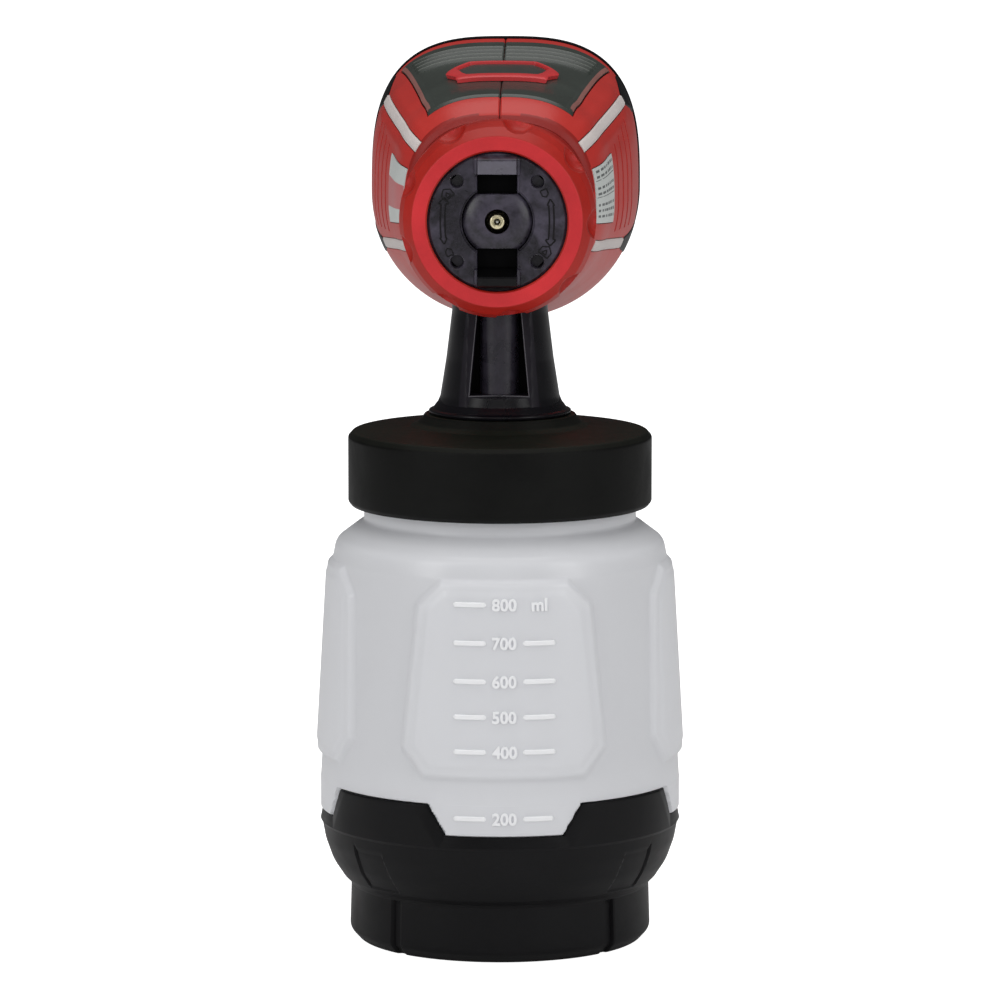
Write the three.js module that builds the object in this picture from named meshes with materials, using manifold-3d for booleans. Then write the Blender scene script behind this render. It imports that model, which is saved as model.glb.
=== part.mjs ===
// Corded HVLP spray gun, in millimetres, +Z up. The origin is the centre of the pot's flat underside and the nozzle faces -Y.
import * as THREE from "three";
import { mergeVertices } from "three/addons/utils/BufferGeometryUtils.js";
import Module from "manifold-3d";

const wasm = await Module();
wasm.setup();

// ---- driving dimensions ----
const GAP = 0.3; // clearance between neighbouring pieces
const ROUND = 24; // sides of the large round pieces
const MID = 20; // sides of the middle-sized round pieces
const FINE = 12; // sides of the small round pieces

const FOOT_R = 46.7; // pot foot
const BASE_TOP = 48; // top edge of the pot base between its notches
const NOTCH_FLOOR = 38.3; // bottom edge of the notches
const NOTCH_TOP_HALF = 23.7; // half width of a notch at BASE_TOP
const NOTCH_FLOOR_HALF = 17.8; // half width of a notch at its floor
const PANEL_RAISE = 2.0; // how far the octagonal panels stand out
const LID_R = 47.4;
const LID_BOTTOM = 134;
const LID_TOP = 157;

const HEAD_Z = 226; // height of the nozzle axis
const RING_FRONT = -42; // front face of the union ring
const RING_R = 30.1;
const RING_LIP_R = 21.4; // inner radius of the union ring's lip
const RING_SCALLOPS = 9;
const CAP_R = RING_LIP_R - GAP; // air cap disc
const DOME_R = 10.5;
const CAP_BORE_R = 3.8;
const TIP_R = 2.2; // brass tip
const EAR_HALF = 6.05; // half width of an air cap ear

const BODY_FRONT = -5; // front lip of the housing
const BODY_REAR = 89.5; // where the rear cap starts
const WALL = 2.4; // housing wall
const REAR_END = 122; // rear end of the rear cap
const SEAM = 0.15; // half the gap between the clamshell halves

const MOTOR_R = 17.5;
const MOTOR_FRONT = 35;
const MOTOR_REAR = 69;
const IMPELLER_R = 32.5;
const FAN_R = 36.5; // fan housing

const PIVOT_Y = 66; // trigger pivot
const PIVOT_Z = 205;
const TRIGGER_FRONT = 57;
const PLUNGER_Z = 174;
const KNOB_Z = 168;
const LINK_Z = 196.5; // pull link bar

const HANDLE_HALF = 15.6; // half the handle's width
const HANDLE_BOTTOM = 90;

// ---- geometry helpers ----
const X = new THREE.Vector3(1, 0, 0);
const Y = new THREE.Vector3(0, 1, 0);
const Z = new THREE.Vector3(0, 0, 1);
const DEG = Math.PI / 180;

// A closed three.js geometry as a manifold-3d solid, turned the right way out.
function solid(geometry) {
  const bare = new THREE.BufferGeometry();
  bare.setAttribute("position", geometry.getAttribute("position").clone());
  if (geometry.index) bare.setIndex(geometry.index.clone());
  const merged = mergeVertices(bare, 1e-4);
  const pos = merged.attributes.position.array;
  const index = [];
  const src = merged.index.array;
  let volume = 0;
  for (let i = 0; i < src.length; i += 3) {
    const [a, b, c] = [src[i], src[i + 1], src[i + 2]];
    if (a === b || b === c || c === a) continue;
    index.push(a, b, c);
    const p = (k) => [pos[3 * k], pos[3 * k + 1], pos[3 * k + 2]];
    const [A, B, C] = [p(a), p(b), p(c)];
    volume +=
      A[0] * (B[1] * C[2] - B[2] * C[1]) -
      A[1] * (B[0] * C[2] - B[2] * C[0]) +
      A[2] * (B[0] * C[1] - B[1] * C[0]);
  }
  if (volume < 0)
    for (let i = 0; i < index.length; i += 3)
      [index[i + 1], index[i + 2]] = [index[i + 2], index[i + 1]];
  return new wasm.Manifold(
    new wasm.Mesh({
      numProp: 3,
      vertProperties: new Float32Array(pos),
      triVerts: new Uint32Array(index),
    }),
  );
}

function geometryOf(made) {
  const mesh = made.getMesh();
  const g = new THREE.BufferGeometry();
  g.setAttribute(
    "position",
    new THREE.BufferAttribute(new Float32Array(mesh.vertProperties), 3),
  );
  g.setIndex(new THREE.BufferAttribute(new Uint32Array(mesh.triVerts), 1));
  return g;
}

const join = (...s) => s.flat().reduce((a, b) => a.add(b));
const cut = (a, ...s) => s.flat().reduce((m, b) => m.subtract(b), a);

// A profile of [radius, height] points turned about the vertical axis through (x, y).
function latheZ(profile, segments = MID, at = [0, 0]) {
  const g = new THREE.LatheGeometry(
    profile.map(([r, h]) => new THREE.Vector2(r, h)),
    segments,
  );
  g.rotateX(Math.PI / 2);
  g.translate(at[0], at[1], 0);
  return solid(g);
}

// A profile of [radius, y] points turned about the line through (x, z) along Y.
function latheY(profile, segments = MID, at = [0, HEAD_Z]) {
  const g = new THREE.LatheGeometry(
    profile.map(([r, h]) => new THREE.Vector2(r, h)),
    segments,
  );
  g.translate(at[0], 0, at[1]);
  return solid(g);
}

// Ring profiles close on themselves.
const ringProfile = (r0, r1, a, b) => [
  [r0, a],
  [r1, a],
  [r1, b],
  [r0, b],
  [r0, a],
];
const rodProfile = (r, a, b) => [
  [0, a],
  [r, a],
  [r, b],
  [0, b],
];
const closed = (profile) => [...profile, profile[0]];

function rod(axis, r, from, to, at, segments = FINE) {
  const g = new THREE.CylinderGeometry(r, r, to - from, segments);
  const mid = (from + to) / 2;
  if (axis === "x") g.rotateZ(-Math.PI / 2).translate(mid, at[0], at[1]);
  if (axis === "y") g.translate(at[0], mid, at[1]);
  if (axis === "z") g.rotateX(Math.PI / 2).translate(at[0], at[1], mid);
  return solid(g);
}

function box(x0, x1, y0, y1, z0, z1) {
  const g = new THREE.BoxGeometry(x1 - x0, y1 - y0, z1 - z0);
  g.translate((x0 + x1) / 2, (y0 + y1) / 2, (z0 + z1) / 2);
  return solid(g);
}

// A flat outline in the (u, v) plane, pushed along w from one distance to another.
function prism(points, u, v, w, from, to) {
  const shape = new THREE.Shape(points.map(([a, b]) => new THREE.Vector2(a, b)));
  const g = new THREE.ExtrudeGeometry(shape, {
    depth: to - from,
    bevelEnabled: false,
    steps: 1,
  });
  const m = new THREE.Matrix4().makeBasis(u, v, w);
  m.setPosition(w.clone().multiplyScalar(from));
  g.applyMatrix4(m);
  return solid(g);
}

// Closed loops of equal length, skinned, with a fan over each end.
function loft(loops) {
  const n = loops[0].length;
  const pos = [];
  const index = [];
  for (const loop of loops) for (const p of loop) pos.push(...p);
  for (let i = 0; i < loops.length - 1; i++)
    for (let j = 0; j < n; j++) {
      const a = i * n + j;
      const b = i * n + ((j + 1) % n);
      index.push(a, b, b + n, a, b + n, a + n);
    }
  for (const [k, flip] of [
    [0, true],
    [loops.length - 1, false],
  ]) {
    const c = [0, 0, 0];
    for (const p of loops[k]) for (let q = 0; q < 3; q++) c[q] += p[q] / n;
    pos.push(...c);
    const centre = pos.length / 3 - 1;
    for (let j = 0; j < n; j++) {
      const a = k * n + j;
      const b = k * n + ((j + 1) % n);
      index.push(...(flip ? [centre, b, a] : [centre, a, b]));
    }
  }
  const g = new THREE.BufferGeometry();
  g.setAttribute("position", new THREE.Float32BufferAttribute(pos, 3));
  g.setIndex(index);
  return solid(g);
}

// A round tube or rod along a path.
function sweep(path, outer, inner, around, steps) {
  const shape = new THREE.Shape();
  shape.absarc(0, 0, outer, 0, 2 * Math.PI, false);
  if (inner) {
    const hole = new THREE.Path();
    hole.absarc(0, 0, inner, 0, 2 * Math.PI, true);
    shape.holes.push(hole);
  }
  return solid(
    new THREE.ExtrudeGeometry(shape, {
      extrudePath: path,
      steps,
      curveSegments: around,
      bevelEnabled: false,
    }),
  );
}

const turnedZ = (s, degrees) => s.rotate([0, 0, degrees]);
const turnedY = (s, degrees) =>
  s.translate([0, 0, -HEAD_Z]).rotate([0, degrees, 0]).translate([0, 0, HEAD_Z]);
const mirroredX = (s) => s.mirror([1, 0, 0]);

const gun = new THREE.Group();
gun.name = "hvlp_spray_gun";
const head = new THREE.Group(); // everything on the nozzle axis
head.position.set(0, 0, HEAD_Z);
gun.add(head);
const pot = new THREE.Group(); // everything that turns with the container
gun.add(pot);
const triggerGroup = new THREE.Group();
triggerGroup.position.set(0, PIVOT_Y, PIVOT_Z);
gun.add(triggerGroup);

// Puts a solid into the scene as a named mesh with its own pivot.
function add(name, made, look, parent = gun, pivot = [0, 0, 0]) {
  const g = geometryOf(made);
  const p = parent.position;
  g.translate(-p.x - pivot[0], -p.y - pivot[1], -p.z - pivot[2]);
  const mesh = new THREE.Mesh(
    g,
    new THREE.MeshStandardMaterial({
      color: look[0],
      roughness: look[1],
      metalness: look[2],
      flatShading: true,
    }),
  );
  mesh.position.set(...pivot);
  mesh.name = name;
  parent.add(mesh);
  return mesh;
}

const RED = [0xb5282a, 0.42, 0];
const RING_RED = [0xc0262c, 0.5, 0];
const COLLAR_RED = [0x8a1a16, 0.5, 0];
const BLACK = [0x17171a, 0.38, 0];
const SOFT_BLACK = [0x1c1c1e, 0.75, 0];
const PANEL = [0x3c413d, 0.45, 0];
const PALE = [0xb9b3ae, 0.5, 0];
const MILKY = [0xdcdde0, 0.4, 0];
const BRASS = [0xcaa85a, 0.28, 1];
const STEEL = [0xa9abae, 0.32, 1];
const GREY = [0x6d6f72, 0.6, 0];
const SEAL = [0x2a2a2a, 0.8, 0];

// ---- pot: base and container ----
// Heights are measured from the container's own datum; the foot reaches this far below it.
const FOOT_EXTRA = 3.0;
// The base is a cup: a foot, a flared skirt and an upright band with four notches.
const baseCup = latheZ(
  [
    [0, -FOOT_EXTRA],
    [44.2, -FOOT_EXTRA],
    [46.5, 1.0 - FOOT_EXTRA],
    [47.1, 3.4 - FOOT_EXTRA],
    [FOOT_R, 14.6],
    [48.9, 16.8],
    [52.0, 22.0],
    [54.3, 29.0],
    [55.9, 36.0],
    [55.9, BASE_TOP],
    [54.4, BASE_TOP],
    [54.4, 38.0],
    [52.6, 29.4],
    [50.2, 22.6],
    [44.8, 14.4],
    [44.8, 0],
    [0, 0],
  ],
  ROUND,
);
const notchOutline = (grow) => [
  [-NOTCH_FLOOR_HALF - grow, NOTCH_FLOOR - grow],
  [NOTCH_FLOOR_HALF + grow, NOTCH_FLOOR - grow],
  [NOTCH_TOP_HALF + grow + 0.7, BASE_TOP + 1],
  [NOTCH_TOP_HALF + grow + 0.7, 60],
  [-NOTCH_TOP_HALF - grow - 0.7, 60],
  [-NOTCH_TOP_HALF - grow - 0.7, BASE_TOP + 1],
];
const notchTool = prism(notchOutline(0), X, Z, Y, 44, 70);
// Four shallow upright channels in the foot and a sunk trapezoid with a slit beside each on the skirt.
const channel = box(45.7, 52, -1.75, 1.75, -FOOT_EXTRA - 1, 14.2);
const sunk = prism(
  [
    [-6.2, 17.5],
    [4.0, 17.5],
    [7.4, 31.2],
    [-4.6, 31.2],
  ],
  Y,
  Z,
  X,
  0,
  12,
);
const skirtSunk = latheZ(
  closed([
    [47.5, 13],
    [60, 13],
    [60, 33],
    [55.4 - 0.9, 32.9],
    [54.3 - 0.9, 29.0],
    [52.0 - 0.9, 22.0],
    [48.9 - 0.9, 16.8],
  ]),
  ROUND,
);
let potBase = baseCup;
for (const a of [0, 90, 180, 270])
  potBase = potBase.subtract(turnedZ(notchTool, a));
for (const a of [45, 135, 225, 315]) {
  potBase = potBase.subtract(turnedZ(channel, a));
}
for (const [a, flip] of [
  [-42, false],
  [138, false],
  [42, true],
  [-138, true],
]) {
  let tool = sunk.translate([44, 0, 0]);
  if (flip) tool = tool.mirror([0, 1, 0]);
  potBase = potBase.subtract(turnedZ(tool, a).intersect(skirtSunk));
}
add("pot_base", potBase, BLACK, pot);

// The container's outside from the shoulder down, with a step over the base's band.
const shoulder = [
  [51.6, 119.5],
  [51.2, 121.7],
  [50.2, 123.4],
  [48.8, 124.8],
  [45.5, 127.2],
  [42.5, 129.0],
];
const outsideLow = [
  [0, 0.4],
  [41.6, 0.4],
  [44.5, 3.2],
  [44.5, 14.6],
  [49.9, 22.8],
  [52.3, 29.6],
  [54.1, 38.2],
  [54.1, BASE_TOP + GAP],
];
const neckOutside = [
  [42.4, 144.0],
  [43.8, 144.4],
  [43.8, 145.4],
  [42.4, 145.8],
  [42.4, 151.0],
];
const inside = [
  [0, 152.0],
  [40.6, 152.0],
  [40.6, 129.4],
  [47.7, 123.4],
  [50.1, 119.0],
  [53.6, 58.0],
  [52.4, 44.0],
  [50.8, 29.8],
  [48.2, 22.9],
  [43.0, 15.0],
  [43.0, 2.0],
  [0, 2.0],
];
const containerCup = latheZ(
  [...outsideLow, [55.8, BASE_TOP + GAP], ...shoulder, ...neckOutside, [0, 151.0]],
  ROUND,
).subtract(latheZ(inside, 16));
// The wall stands out to the base's outer surface inside the notches.
const notchFill = latheZ(
  closed([
    [53, NOTCH_FLOOR - 1],
    [55.9, NOTCH_FLOOR - 1],
    [55.75, BASE_TOP + 1.2],
    [53.2, BASE_TOP + 1.2],
  ]),
  ROUND,
);
const fillTool = prism(
  [
    [-NOTCH_FLOOR_HALF + GAP + 0.1, NOTCH_FLOOR + GAP],
    [NOTCH_FLOOR_HALF - GAP - 0.1, NOTCH_FLOOR + GAP],
    [NOTCH_TOP_HALF - GAP, BASE_TOP + 1.1],
    [-NOTCH_TOP_HALF + GAP, BASE_TOP + 1.1],
  ],
  X,
  Z,
  Y,
  44,
  70,
);
// Raised octagonal panels, one on each of the four sides.
const panelSkin = latheZ(
  closed([
    [51.2, 119.0],
    [51.9 + PANEL_RAISE, 115.0],
    [55.2 + PANEL_RAISE, 58.0],
    [54.2, 54.0],
  ]),
  ROUND,
);
const octagon = prism(
  [
    [-19.6, 117.9],
    [19.6, 117.9],
    [27.4, 109.7],
    [31.9, 64.9],
    [24.8, 55.4],
    [-24.8, 55.4],
    [-31.9, 64.9],
    [-27.4, 109.7],
  ],
  X,
  Z,
  Y,
  30,
  70,
);
let container = containerCup;
for (const a of [0, 90, 180, 270]) {
  container = container.add(turnedZ(fillTool, a).intersect(notchFill));
  container = container.add(turnedZ(octagon, a).intersect(panelSkin));
}
add("container", container, MILKY, pot);

// ---- lid, seals and the air valve under it ----
const lid = latheZ(
  closed([
    [44.9, LID_BOTTOM],
    [46.6, LID_BOTTOM],
    [LID_R, LID_BOTTOM + 1.2],
    [LID_R, LID_TOP - 1.4],
    [46.3, LID_TOP],
    [27.2, 158.9],
    [25.0, 160.4],
    [23.5, 162.4],
    [12.0, 162.4],
    [12.0, 153.9],
    [44.9, 153.9],
    [44.9, 143.0],
    [43.2, 142.6],
    [43.2, 141.4],
    [44.9, 141.0],
  ]),
  ROUND,
);
const VALVE = [24, 12]; // air valve, off the axis
const lidMade = lid.subtract(rod("z", 2.2, 150, 165, VALVE, 16));
add("pot_lid", lidMade, BLACK);
add("pot_gasket", latheZ(ringProfile(40.9, 44.5, 151.3, 153.6), ROUND), SEAL);
add(
  "check_valve_disc",
  latheZ(rodProfile(6.0, 152.4, 153.6), 16, VALVE),
  SEAL,
  gun,
);
add(
  "check_valve_cap",
  latheZ(
    closed([
      [1.6, 148.6],
      [8.2, 148.6],
      [8.2, 153.6],
      [6.4, 153.6],
      [6.4, 150.4],
      [1.6, 150.4],
    ]),
    16,
    VALVE,
  ),
  GREY,
  gun,
);

// ---- spray head: lid flange, neck and barrel ----
const superLoop = (cx, cy, z, a, b, n, count) => {
  const loop = [];
  for (let i = 0; i < count; i++) {
    const t = ((i + 0.5) / count) * 2 * Math.PI;
    const c = Math.cos(t);
    const s = Math.sin(t);
    loop.push([
      cx + a * Math.sign(c) * Math.abs(c) ** (2 / n),
      cy + b * Math.sign(s) * Math.abs(s) ** (2 / n),
      z,
    ]);
  }
  return loop;
};
const neckLoft = (grow, z0 = 165, z1 = 214) =>
  loft(
    [
      [z0, 19.3, 19.3, 2.1],
      [168, 18.6, 18.9, 2.2],
      [180, 16.7, 17.6, 2.4],
      [194.7, 14.9, 16.4, 2.6],
      [z1, 13.9, 15.6, 2.6],
    ].map(([z, a, b, n]) => superLoop(0, 0, z, a + grow, b + grow, n, 20)),
  );
const flange = latheZ(
  [
    [0, 150.5],
    [8.6, 150.5],
    [8.6, 153.2],
    [11.7, 153.4],
    [11.7, 162.7],
    [22.3, 162.7],
    [22.3, 163.9],
    [20.6, 164.4],
    [19.5, 165.2],
    [19.0, 166.2],
    [0, 166.2],
  ],
  MID,
);
// The neck's front pocket has sloping sides and a round riser standing in it.
const pocketTool = loft([
  [
    [-12.6, -24, 167.9],
    [12.6, -24, 167.9],
    [10.2, -24, 199],
    [-10.2, -24, 199],
  ],
  [
    [-9.0, -11.2, 170.4],
    [9.0, -11.2, 170.4],
    [6.6, -11.2, 197.5],
    [-6.6, -11.2, 197.5],
  ],
]);
const riser = rod("z", 6.4, 164, 205, [0, -7.6], 14);
const neck = neckLoft(0).subtract(pocketTool).add(riser);

const barrelShell = latheY(
  closed([
    [19.4, -36.2],
    [22.6, -36.2],
    [22.6, -20.4],
    [24.8, -20.0],
    [24.8, -8.0],
    [21.5, -7.0],
    [21.5, 24.0],
    [19.4, 24.0],
  ]),
  MID,
);
const hub = latheY(rodProfile(8.0, -26.0, 24.0), 16);
const webs = [0, 60, 120].map((a) =>
  turnedY(box(-20.5, 20.5, -14, 8, HEAD_Z - 1.1, HEAD_Z + 1.1), a),
);
// The neck runs up through the barrel's wall to the hub as a narrow strut, so air can pass each side of it.
const strut = box(-3.4, 3.4, -8, 8, 200, 222);
const neckTop = neck.subtract(
  latheY(rodProfile(20.4, -40, 40), MID),
);
let sprayHead = join(flange, neckTop, barrelShell, hub, ...webs, strut);
sprayHead = cut(
  sprayHead,
  rod("y", 1.9, -40, 30, [0, HEAD_Z], 10), // needle bore
  latheY(rodProfile(5.8, -32, -14), 14), // nozzle socket
  latheY(rodProfile(5.3, 6, 26), 12), // spring chamber
  rod("z", 2.6, 154, HEAD_Z, [0, 0], 8), // fluid bore
  rod("z", 4.7, 148, 162, [0, 0], 12), // suction tube socket
);
add("spray_head", sprayHead, BLACK, head);

add(
  "tube_seal",
  latheZ(ringProfile(2.8, 4.3, 160.0, 161.6), 16),
  SEAL,
);
const dip = new THREE.CurvePath();
dip.add(new THREE.LineCurve3(new THREE.Vector3(0, 0, 159.7), new THREE.Vector3(0, 0, 80)));
dip.add(
  new THREE.QuadraticBezierCurve3(
    new THREE.Vector3(0, 0, 80),
    new THREE.Vector3(0, 0, 60),
    new THREE.Vector3(0, -9, 42),
  ),
);
dip.add(
  new THREE.LineCurve3(new THREE.Vector3(0, -9, 42), new THREE.Vector3(0, -25, 10)),
);
add("suction_tube", sweep(dip, 4.0, 2.6, 4, 11), GREY);

// ---- nozzle, needle and their small parts, all on the nozzle axis ----
add(
  "fluid_nozzle",
  latheY(
    closed([
      [1.5, -14.3],
      [5.3, -14.3],
      [5.3, -28.2],
      [7.6, -28.2],
      [7.6, -32.0],
      [4.6, -35.0],
      [TIP_R, -40.2],
      [TIP_R, -42.2],
      [1.0, -42.2],
      [1.5, -38.6],
    ]),
    16,
  ),
  BRASS,
  head,
);
add("nozzle_seal", latheY(ringProfile(5.6, 7.5, -27.9, -26.3), 16), SEAL, head);
add(
  "fluid_needle",
  latheY(
    [
      [0, -42.0],
      [0.7, -41.4],
      [0.7, -39.6],
      [1.1, -38.0],
      [1.1, 7.6],
      [4.6, 7.6],
      [4.6, 8.8],
      [1.1, 8.8],
      [1.1, 31.4],
      [0, 31.4],
    ],
    16,
  ),
  STEEL,
  head,
);
add(
  "packing_nut",
  latheY(
    closed([
      [1.25, 3.2],
      [1.75, 3.2],
      [1.75, 6.3],
      [4.9, 6.3],
      [4.9, 7.2],
      [1.25, 7.2],
    ]),
    16,
  ),
  BRASS,
  head,
);
// The spring is drawn at its closed-up length, which clears the needle's collar over its whole travel.
class Helix extends THREE.Curve {
  constructor(radius, pitch, turns, y0) {
    super();
    Object.assign(this, { radius, pitch, turns, y0 });
  }
  getPoint(t, target = new THREE.Vector3()) {
    const a = t * this.turns * 2 * Math.PI;
    return target.set(
      this.radius * Math.cos(a),
      this.y0 + this.pitch * this.turns * t,
      HEAD_Z + this.radius * Math.sin(a),
    );
  }
}
add(
  "needle_spring",
  sweep(new Helix(3.6, 2.9, 3.3, 13.4), 0.5, 0, 3, 32),
  STEEL,
  head,
);
add(
  "spring_cap",
  latheY(
    closed([
      [1.5, 24.3],
      [9.6, 24.3],
      [9.6, 27.0],
      [1.5, 27.0],
    ]),
    24,
  ),
  BLACK,
  head,
);

// ---- air cap ----
let airCap = latheY(
  closed([
    [CAP_BORE_R, -41.4],
    [DOME_R - 3.0, -40.9],
    [DOME_R, -39.6],
    [DOME_R + 0.5, -40.6],
    [CAP_R, -41.2],
    [CAP_R, -39.3],
    [22.7, -39.3],
    [22.7, -36.6],
    [19.0, -36.6],
    [18.6, -38.2],
    [CAP_BORE_R, -37.4],
  ]),
  24,
);
// Each ear is a horn with a sloping inner face and a recess between it and the dome.
const horn = prism(
  [
    [8.4, -38.2],
    [14.3, -38.2],
    [15.0, -45.4],
    [18.9, -44.6],
    [19.9, -41.6],
    [19.9, -37.2],
    [8.4, -37.0],
  ],
  Z,
  Y,
  X,
  -EAR_HALF,
  EAR_HALF,
).translate([0, 0, HEAD_Z]);
const recess = box(-EAR_HALF, EAR_HALF, -50, -38.4, HEAD_Z + 8.4, HEAD_Z + 14.4);
const hornCheeks = join(
  box(-EAR_HALF - 1.1, -EAR_HALF + 0.2, -43.8, -38, HEAD_Z + 14.2, HEAD_Z + 19.6),
  box(EAR_HALF - 0.2, EAR_HALF + 1.1, -43.8, -38, HEAD_Z + 14.2, HEAD_Z + 19.6),
);
for (const a of [0, 180]) {
  airCap = airCap.subtract(turnedY(recess, a));
  airCap = airCap.add(turnedY(horn, a)).add(turnedY(hornCheeks, a));
}
for (const a of [45, 135, 225, 315])
  airCap = airCap.subtract(
    turnedY(rod("y", 1.9, -50, -39.4, [17.3, HEAD_Z], 8), a),
  );
add("air_cap", airCap, BLACK, head);

// ---- union ring and collar ----
let ring = latheY(
  closed([
    [RING_LIP_R, RING_FRONT],
    [26.2, RING_FRONT],
    [28.9, RING_FRONT + 3.6],
    [RING_R, RING_FRONT + 8.5],
    [RING_R, -23.5],
    [27.6, -20.6],
    [23.0, -20.6],
    [23.0, -39.6],
    [RING_LIP_R, -39.6],
  ]),
  36,
);
const scallop = rod("y", 5.6, RING_FRONT - 1, -27.5, [0, HEAD_Z + 33.6], 10);
for (let i = 0; i < RING_SCALLOPS; i++)
  ring = ring.subtract(turnedY(scallop, 12 + (i * 360) / RING_SCALLOPS));
add("cap_ring", ring, RING_RED, head);
let collar = latheY(
  closed([
    [25.1, -19.6],
    [27.0, -19.6],
    [28.4, -17.5],
    [28.8, -8.4],
    [28.0, -5.4],
    [25.1, -5.4],
  ]),
  MID,
);
collar = collar.subtract(neckLoft(0.4, 165, 226));
add("head_collar", collar, COLLAR_RED, head);

// ---- housing ----
// Cross-sections of the motor housing along Y: half width, top and bottom from the nozzle axis.
const bodyTable = [
  [-5, 29.0, 29.4, 25.6],
  [3, 31.8, 34.3, 29.4],
  [22, 35.2, 37.3, 34.0],
  [56, 41.6, 42.6, 39.8],
  [75, 43.0, 45.6, 42.0],
  [89.5, 43.1, 47.6, 42.5],
];
function bodyAt(y) {
  let i = 0;
  while (i < bodyTable.length - 2 && y > bodyTable[i + 1][0]) i++;
  const [a, b] = [bodyTable[i], bodyTable[i + 1]];
  const t = (y - a[0]) / (b[0] - a[0]);
  return [1, 2, 3].map((k) => a[k] + (b[k] - a[k]) * t);
}
function bodyLoop(y, grow, count = 24) {
  const [w, top, low] = bodyAt(y);
  const loop = [];
  for (let i = 0; i < count; i++) {
    const t = ((i + 0.5) / count) * 2 * Math.PI;
    const c = Math.cos(t);
    const s = Math.sin(t);
    const n = s > 0 ? Math.min(2.95, 2.5 + (y + 5) * 0.013) : 2.05;
    loop.push([
      (w + grow) * Math.sign(c) * Math.abs(c) ** (2 / n),
      y,
      HEAD_Z + (s > 0 ? top + grow : low + grow) * Math.sign(s) * Math.abs(s) ** (2 / n),
    ]);
  }
  return loop;
}
const bodyHollow = loft(
  [BODY_FRONT - 1, 3, 22, 56, 75, BODY_REAR + 1].map((y) => bodyLoop(y, -WALL, 16)),
);
const bodySkin = (grow, y0, y1) => {
  const ys = [y0, ...bodyTable.map((r) => r[0]).filter((y) => y > y0 + 1 && y < y1 - 1), y1];
  return loft(ys.map((y) => bodyLoop(y, grow)));
};
// Cross-sections of the handle down Z: centre along Y, half depth, half width.
const handleTable = [
  [196, 96.0, 18.0, 12.2],
  [150, 98.4, 15.8, HANDLE_HALF],
  [118, 101.4, 15.8, 15.4],
  [HANDLE_BOTTOM, 104.8, 17.8, 16.2],
];
const handleSkin = (grow, z0, z1, rows = handleTable) => {
  const list = rows.filter((r) => r[0] < z1 - 0.5 && r[0] > z0 + 0.5);
  const at = (z) => {
    let i = 0;
    while (i < rows.length - 2 && z < rows[i + 1][0]) i++;
    const [a, b] = [rows[i], rows[i + 1]];
    const t = (z - a[0]) / (b[0] - a[0]);
    return [z, ...[1, 2, 3].map((k) => a[k] + (b[k] - a[k]) * t)];
  };
  return loft(
    [at(z1), ...list, at(z0)].map(([z, cy, b, a]) =>
      superLoop(0, cy, z, a + grow, b + grow, 2.5, 16),
    ),
  );
};
const rearRoom = join(
  latheY(rodProfile(45.0, BODY_REAR + 0.01, 130), MID),
);
const outerShape = bodySkin(0, BODY_FRONT, BODY_REAR).add(
  handleSkin(0, HANDLE_BOTTOM, 196).subtract(rearRoom),
);
const innerShape = bodyHollow
  .add(
    handleSkin(-2.2, HANDLE_BOTTOM + 3, 190).subtract(
      latheY(rodProfile(45.0 + WALL, BODY_REAR - WALL, 130), MID),
    ),
  );
let shell = outerShape.subtract(innerShape);

// Bosses that carry the screws and the trigger pin.
const screws = [
  [22.6, 196.6],
  [101.2, 156],
  [103.0, 130],
  [104.5, 101],
];
for (const [y, z] of screws)
  shell = shell.add(rod("x", 4.2, -20, 20, [y, z], 8).intersect(outerShape));
shell = shell.add(
  join(
    rod("x", 4.4, 10.6, 30, [PIVOT_Y, PIVOT_Z], 10),
    rod("x", 4.4, -30, -10.6, [PIVOT_Y, PIVOT_Z], 10),
  ).intersect(bodySkin(-0.5, 50, 80)),
);

// Openings: neck slot, trigger slot, plunger hole, cord hole, pin hole.
shell = cut(
  shell,
  neckLoft(0.5, 165, 226),
  latheY(rodProfile(25.3, -10, 2), MID).intersect(box(-26, 26, -10, 2, 190, 262)),
  box(-10.2, 10.2, 53.6, 79, 170, 198),
  rod("y", 4.0, 74, 90, [0, PLUNGER_Z], 12),
  rod("z", 7.9, 80, 96, [0, 105], 20),
  rod("x", 1.8, -22, 22, [PIVOT_Y, PIVOT_Z], 10),
);
// Screw holes: a deep counterbore on the left and a blind hole on the right.
for (const [y, z] of screws) {
  shell = shell.subtract(rod("x", 1.85, -30, 9, [y, z], 8));
  shell = shell.subtract(rod("x", 3.5, -30, -9.2, [y, z], 10));
}
// Seats for the top panel, the strips and the labels, and the side grooves.
const panelOutline = (grow) => [
  [-22.4 - grow, 4.2 - grow],
  [22.4 + grow, 4.2 - grow],
  [33.0 + grow, 77.5 + grow],
  [-33.0 - grow, 77.5 + grow],
];
const above = (outline) => prism(outline, X, Y, Z, HEAD_Z + 10, HEAD_Z + 60);
const skinFrom = (depth) => bodySkin(6, -4.5, 89).subtract(bodySkin(-depth, -6, 90));
const seatSkin = skinFrom(1.5);
shell = shell.subtract(above(panelOutline(0.25)).intersect(seatSkin));
const stripSlab = (half, y0, y1) => (angle) =>
  turnedY(box(20, 60, y0, y1, HEAD_Z - half, HEAD_Z + half), -angle);
const STRIPS = {
  ur: [37.8, -3, 67],
  ul: [142.2, -3, 67],
  lr: [-21.5, 2, 48],
  ll: [201.5, 2, 48],
};
for (const [angle, y0, y1] of Object.values(STRIPS))
  shell = shell.subtract(
    stripSlab(2.05, y0 - 0.3, y1 + 0.3)(angle).intersect(seatSkin),
  );
const labelOutline = (grow) => [
  [-2.5 - grow, -4 - grow],
  [23 + grow, -5.9 - grow],
  [23 + grow, 15.7 + grow],
  [-2.5 - grow, 12.8 + grow],
];
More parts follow.
